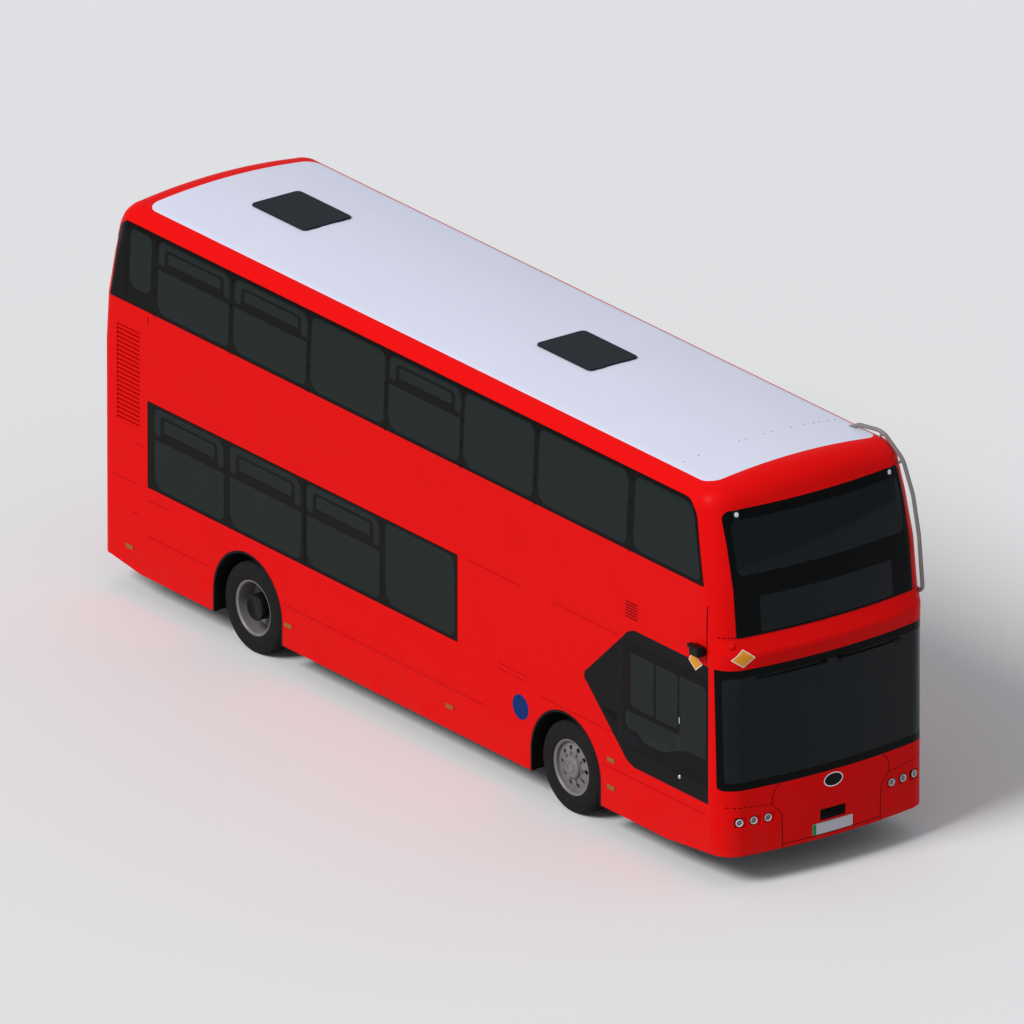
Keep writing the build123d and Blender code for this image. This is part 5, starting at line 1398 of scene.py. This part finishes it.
@dataclass
class CameraPods:
    """The small camera housings that stand in for mirrors, one on each side behind the front corner."""

    arm: tuple[Point, Point, Point] = ((4.586, 4.842), (1.2735, 1.332), (2.463, 2.506))
    head: tuple[Point, Point, Point] = ((4.680, 4.830), (1.2735, 1.380), (2.425, 2.528))
    lens_r: float = 0.017

    def build(self) -> None:
        """Makes both pods as one piece."""
        bm = bmesh.new()
        for side in (OFFSIDE, NEARSIDE):
            for (x0, x1), (y0, y1), (z0, z1), bevel in ((*self.arm, 0.010), (*self.head, 0.014)):
                ends = sorted((side * y0, side * y1))
                box(bm, (x0, ends[0], z0), (x1, ends[1], z1), bevel)
            (x0, _), (_, y1), (z0, z1) = self.head
            start = Vector((x0, side * (y1 - 0.030), z0 + 0.030))
            back = Vector((-1, 0, 0))
            r = self.lens_r
            lathe(bm, [(r + 0.004, -0.002), (r + 0.004, 0.005), (r, 0.005)], start, back, 28)
            lathe(bm, [(r, 0.005), (r - 0.004, 0.002), (0.0, 0.004)], start, back, 28, 1)
        add_piece("camera_pod_shells", bm, POD_BLACK, GLASS_EDGE, replaced=["camera_pods"])


@dataclass
class TailEnd:
    """The tail's window border, lamp bezels and lenses, reflectors and panel gaps."""

    window: tuple[float, Point, float] = (0.957, (2.953, 3.857), 0.13)
    window_sight: tuple[float, Point, float] = (0.880, (3.035, 3.775), 0.09)
    lamp_y: float = 1.080
    lamp_r: float = 0.055
    lamps: tuple[tuple[float, Finish], ...] = ((0.900, LENS_CLEAR), (1.040, LENS_RED), (1.180, LENS_RED),
                                               (1.320, LENS_AMBER))
    reflector: tuple[Point, Point] = ((0.955, 1.085), (0.470, 0.515))
    top_lamp: tuple[Point, Point] = ((0.985, 1.055), (3.905, 3.930))
    gap: float = 0.003
    level_gaps: tuple[float, ...] = (0.560, 2.900)
    upright_gaps: tuple[float, Point] = (0.985, (0.566, 2.300))

    def build(self) -> None:
        """Lays the border and gaps, and sets the lamps in their bezels."""
        border = Skinned(Face.TAIL).area([FrontEnd.panel(*self.window), FrontEnd.panel(*self.window_sight)])
        border.lay("rear_window_border", *BORDER, FRIT)
        finishes = [BLACK_SATIN, LENS_RED, LENS_AMBER, LENS_CLEAR]
        bm = bmesh.new()
        marks, gaps = Skinned(Face.TAIL), Skinned(Face.TAIL)
        r = self.lamp_r
        rings = [(r - 0.004, 0.001)] + [(r - 0.004 - 0.006 * k, 0.004 + 0.0012 * (k % 2)) for k in range(1, 8)]
        for z in self.level_gaps:
            gaps.tick((0.0, z), (1.20, self.gap))
        for side in (1, -1):
            for z, lens in self.lamps:
                point, normal = FORM.end(side * self.lamp_y, z, -1)
                start = point - normal * 0.001
                lathe(bm, [(r + 0.008, 0.0), (r + 0.006, 0.004), (r, 0.005), (r - 0.004, 0.001)], start, normal, 40)
                lathe(bm, rings + [(0.0, 0.006)], start, normal, 40, finishes.index(lens))
            for u, z in (self.reflector, self.top_lamp):
                marks.area([rounded(tuple(sorted((side * u[0], side * u[1]))), z, 0.006)])
            y, z = self.upright_gaps
            gaps.area([rounded((side * y - self.gap, side * y + self.gap), z, 0.0)])
        outward(bm)
        settle(new_object("tail_lamp_bezels", bm, *finishes), "root", LENS_RED.slot)
        marks.lay("tail_reflectors", 0.004, 0.004, LENS_RED, pitch=0.05)
        gaps.lay("tail_gaps", *JOINT, SEALANT)


# ------------------------------------------------------------------ wheels
@dataclass(frozen=True)
class Wheel:
    """One wheel body: its name, its axle's length, its side, and whether it has two tyres."""

    name: str
    x: float
    side: int
    twin: bool

    @property
    def body(self) -> str:
        """The body that it turns on."""
        return "wheel_" + self.name


@dataclass
class WheelSet:
    """Tyres with a tread, painted wheels, nuts, front hub caps and rear hub drums."""

    repeat: Repeater
    wheels: tuple[Wheel, ...] = (Wheel("front_left", 2.531, 1, False), Wheel("front_right", 2.531, -1, False),
                                 Wheel("rear_left", -2.760, 1, True), Wheel("rear_right", -2.760, -1, True))
    y: float = 1.0925
    radius: float = 0.478
    width: float = 0.275
    rim_r: float = 0.2813
    rim_w: float = 0.228
    pitch: float = 0.315
    grooves: tuple[float, ...] = (-0.066, -0.022, 0.022, 0.066)
    wall: tuple[Point, ...] = ((0.300, 0.017), (0.313, 0.010), (0.318, 0.012), (0.345, 0.003), (0.380, 0.0),
                               (0.384, 0.002), (0.414, 0.003), (0.440, 0.011), (0.455, 0.017), (0.467, 0.028))
    disc_out: float = 0.086
    dish: float = 0.018
    nut_ring: float = 0.146
    nut_ring_twin: float = 0.162
    hub_r: float = 0.130
    stud_ring: Point = (0.078, 0.123)
    cap_ring: tuple[Point, ...] = ((0.046, 0.122), (0.056, 0.122), (0.056, 0.127), (0.052, 0.129), (0.046, 0.127),
                                   (0.046, 0.122))
    drum: tuple[Point, ...] = ((0.0, 0.066), (0.098, 0.066), (0.099, -0.130), (0.137, -0.130), (0.137, 0.094),
                               (0.130, 0.100), (0.108, 0.100), (0.102, 0.094), (0.0, 0.094))

    def cap_studs(self, wheel: Wheel, middle: Vector, out: Vector) -> None:
        """Small studs round a front hub cap, and a raised ring on the cap."""
        self.repeat.make(self.repeat.ring, "cap_studs_" + wheel.name, NUT_STEEL, wheel.body, Count=12,
                         Start=tuple(middle + out * self.stud_ring[1]), Step=(self.stud_ring[0], 0.0, 0.0),
                         Size=(0.006, 0.006, 0.0))
        bm = bmesh.new()
        lathe(bm, self.cap_ring, middle, out, 48)
        add_piece("cap_ring_" + wheel.name, bm, NUT_STEEL, body=wheel.body)

    def profile(self) -> list[Point]:
        """Half section of a tyre as (radius, distance across), from bead to bead over the tread."""
        w, r = self.width / 2, self.radius
        bead = self.rim_w / 2 - 0.012
        side = [(self.rim_r, -bead)] + [(a, b - w) for a, b in self.wall]
        side += [(r - 0.003, -w + 0.040), (r, -w + 0.050)]
        tread = []
        for g in self.grooves:
            tread += [(r, g - 0.006), (r - 0.011, g - 0.004), (r - 0.011, g + 0.004), (r, g + 0.006)]
        return side + tread + [(a, -b) for a, b in reversed(side)]

    def build(self) -> None:
        """Makes every wheel's pieces."""
        for wheel in self.wheels:
            out = Vector((0, wheel.side, 0))
            middle = Vector((wheel.x, wheel.side * self.y, self.radius))
            self.tyres(wheel, middle, out)
            rim = copy_node("rim_" + wheel.name, "wheel_paint_" + wheel.name)
            paint = WheelPaint("wheel_paint_" + wheel.name, (0.20, 0.183, 0.195), "wheel_silver", 0.42, metallic=0.1,
                               centre=(wheel.x, self.radius), hub_radius=self.hub_r if wheel.twin else 0.0)
            dress(rim.data, paint)
            kept_normals(rim)
            settle(rim, wheel.body, paint.slot, "rim_" + wheel.name)
            face = (-self.pitch / 2 + self.dish) if wheel.twin else self.disc_out
            self.repeat.make(self.repeat.ring, "nuts_" + wheel.name, NUT_STEEL, wheel.body, Count=10,
                             Start=tuple(middle + out * (face + 0.004)), Size=(0.014, 0.022, 0.0),
                             Step=(self.nut_ring_twin if wheel.twin else self.nut_ring, 0.0, 0.0))
            if wheel.twin:
                drum = bmesh.new()
                lathe(drum, self.drum, middle, out, 64)
                add_piece("hub_drum_" + wheel.name, drum, POD_BLACK, body=wheel.body)
            else:
                self.cap_studs(wheel, middle, out)

    def tyres(self, wheel: Wheel, middle: Vector, out: Vector) -> None:
        """One tyre in front, or a pair behind, each closed by a band inside its beads."""
        bm = bmesh.new()
        bead = self.rim_w / 2 - 0.012
        for k in range(2 if wheel.twin else 1):
            for profile in (self.profile(), [(self.rim_r, bead), (self.rim_r, -bead)]):
                lathe(bm, profile, middle - out * (self.pitch * k), Vector((0, 1, 0)), 96)
        add_piece("tread_" + wheel.name, bm, TYRE_RUBBER, body=wheel.body, replaced=["tyre_" + wheel.name])


# ------------------------------------------------------------------ fittings
@dataclass
class Fittings:
    """Everything that keeps the frame's own mesh, with its finish, and the padded seats."""

    plain: tuple[tuple[str, Finish], ...] = (
        ("glazing_lower", GLASS_SIDE), ("windscreen_lower", GLASS_FRONT), ("cab_side_panel", BLACK_SATIN),
        ("front_grille", BLACK_SATIN), ("headlamps", SEALANT),
        ("front_marker_lamps", LENS_CLEAR), ("rear_lamps", LENS_RED), ("rear_cover", PAINT_DOOR),
        ("side_markers", LENS_AMBER), ("roof_hatch_front", PLASTIC), ("roof_hatch_rear", PLASTIC),
        ("wheel_boxes", BLACK_SATIN), ("lower_floor", VINYL), ("upper_floor", VINYL), ("staircase", VINYL),
        ("rear_bulkhead", TRIM_GREY), ("cab_partition", TRIM_GREY), ("battery_pack", STEEL_DARK),
        ("dashboard", PLASTIC), ("steering_wheel", PLASTIC), ("driver_seat", CLOTH), ("grab_poles", POLE),
        ("underframe", STEEL_DARK), ("front_axle", STEEL_DARK), ("rear_axle", STEEL_DARK),
        ("knuckle_left", STEEL_DARK), ("knuckle_right", STEEL_DARK), ("wipers", POD_BLACK),
        ("tree_guard", GUARD_GREY),
    )
    seat_round: float = 0.018
    seat_fill: float = 0.6
    leaves: tuple[str, ...] = ("door_front_aft", "door_front_fore", "door_centre_aft", "door_centre_fore")

    def build(self) -> None:
        """Dresses the plain nodes, the door leaves and the seats."""
        for node, finish in self.plain:
            mesh = NODES[node].data
            mesh.materials.clear()
            dress(mesh, finish)
        for node in self.leaves:
            self.leaf(node)
            self.leaf_rubbers(node)
        self.louvres()
        for node in ("seats_lower", "seats_upper"):
            self.seats(node)

    @staticmethod
    def leaf(node: str) -> None:
        """A door leaf with its frame painted and its pane glazed."""
        obj = copy_node(node, node + "_leaf")
        dress(obj.data, PAINT_DOOR, GLASS_SIDE)
        with edited(obj.data) as bm:
            left = set(bm.faces)
            islands = []
            while left:
                island, edge = set(), [left.pop()]
                while edge:
                    face = edge.pop()
                    island.add(face)
                    near = {g for e in face.edges for g in e.link_faces} & left
                    left -= near
                    edge += near
                islands.append(island)
            for face in min(islands, key=lambda island: max(v.co.z for f in island for v in f.verts)):
                face.material_index = 1
        kept_normals(obj)
        settle(obj, node.replace("door_", "leaf_"), PAINT_DOOR.slot, node)

    @staticmethod
    def leaf_rubbers(node: str) -> None:
        """Rubber strips down both edges of a door leaf."""
        low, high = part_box(node)
        face = high.y - 0.0005
        bm = bmesh.new()
        for x in (low.x + 0.001, high.x - 0.017):
            box(bm, (x, face - 0.012, low.z + 0.004), (x + 0.016, face + 0.002, high.z - 0.004), 0.001)
        add_piece(node + "_rubbers", bm, SEALANT, body=node.replace("door_", "leaf_"))

    @staticmethod
    def louvres() -> None:
        """The louvre slats in body paint, with painted shade, a darker red, on the faces deep between them."""
        obj = copy_node("offside_louvres", "offside_louvre_slats")
        inside = -FORM.half + 0.013
        with edited(obj.data) as bm:
            slice_rows(bm, 1, [inside])
            for face in bm.faces:
                # Faces deeper than the outer edge get the second finish, a darker red: painted shade in the depth
                # between the slats.
                face.material_index = int(face.calc_center_median().y > inside)
        dress(obj.data, PAINT_RED, SHADE_RED)
        kept_normals(obj)
        settle(obj, "root", PAINT_RED.slot, "offside_louvres")

    def seats(self, node: str) -> None:
        """A row of seats in cloth with softened edges."""
        obj = copy_node(node, node + "_cloth")
        obj.data.attributes.remove(obj.data.attributes["kept"])
        with edited(obj.data) as bm:
            bmesh.ops.dissolve_limit(bm, angle_limit=0.02, verts=bm.verts, edges=bm.edges)
            bmesh.ops.bevel(bm, geom=bm.edges, offset=self.seat_round, segments=2, affect="EDGES", profile=0.6,
                            clamp_overlap=True)
            for face in bm.faces:
                face.smooth = True
        dress(obj.data, CLOTH)
        settle(obj, "root", CLOTH.slot, node)


# ------------------------------------------------------------------ studio
@dataclass
class Studio:
    """Camera, soft light and a plain pale floor."""

    azimuth: float = 53.11
    elevation: float = 21.82
    target: Place = (-0.056, 0.0, 2.089)
    distance: float = 467.0
    view_width: float = 10.199
    sensor: float = 36.0
    sky: tuple[float, ...] = (0.93, 0.95, 1.0, 1.0)
    sky_strength: float = 0.46
    clip: Point = (10.0, 1200.0)
    sun: float = 2.35
    sun_softness: float = 22.0
    sun_from: Place = (0.06, -1.0, 0.92)
    floor_half: float = 120.0

    def build(self) -> None:
        """Places everything that isn't part of the bus."""
        scene = bpy.context.scene
        a, e = math.radians(self.azimuth), math.radians(self.elevation)
        back = Vector((math.sin(a) * math.cos(e), -math.cos(a) * math.cos(e), math.sin(e)))
        data = bpy.data.cameras.new("camera")
        data.sensor_width = self.sensor
        data.lens = self.sensor * self.distance / self.view_width
        data.clip_start, data.clip_end = self.clip
        scene.camera = self.turned("camera", data, back)
        scene.camera.location = Vector(self.target) + back * self.distance
        scene.view_settings.view_transform = "Standard"
        world = bpy.data.worlds.new("studio")
        world.use_nodes = True
        background = world.node_tree.nodes["Background"].inputs
        background["Color"].default_value = self.sky
        background["Strength"].default_value = self.sky_strength
        scene.world = world
        sun = bpy.data.lights.new("key", "SUN")
        sun.energy = self.sun
        sun.angle = math.radians(self.sun_softness)
        self.turned("key", sun, Vector(self.sun_from))
        bm = bmesh.new()
        bmesh.ops.create_grid(bm, x_segments=1, y_segments=1, size=self.floor_half)
        floor = new_object("floor", bm, PaleFloor("floor_pale", (0.80, 0.80, 0.80), "trim_grey", 0.9, specular=0.1,
                                                  bump=0.0, vary=0.0))

    @staticmethod
    def turned(name: str, data: bpy.types.ID, back: Vector) -> bpy.types.Object:
        """A new camera or light whose back faces a direction."""
        obj = linked(name, data)
        obj.rotation_mode = "QUATERNION"
        obj.rotation_quaternion = back.to_track_quat("Z", "Y")
        return obj


def main() -> None:
    """Builds the scene."""
    logging.basicConfig(level=logging.INFO, format="%(message)s")
    bpy.ops.wm.read_factory_settings(use_empty=True)
    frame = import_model()
    NODES.update(frame["nodes"])
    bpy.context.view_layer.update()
    repeat = Repeater()
    Shell().build()
    SideGlazing().build()
    CabSide().build()
    Seams(repeat).build()
    FrontEnd().build()
    CameraPods().build()
    TailEnd().build()
    WheelSet(repeat).build()
    Fittings().build()
    Studio().build()


if __name__ == "__main__":
    main()
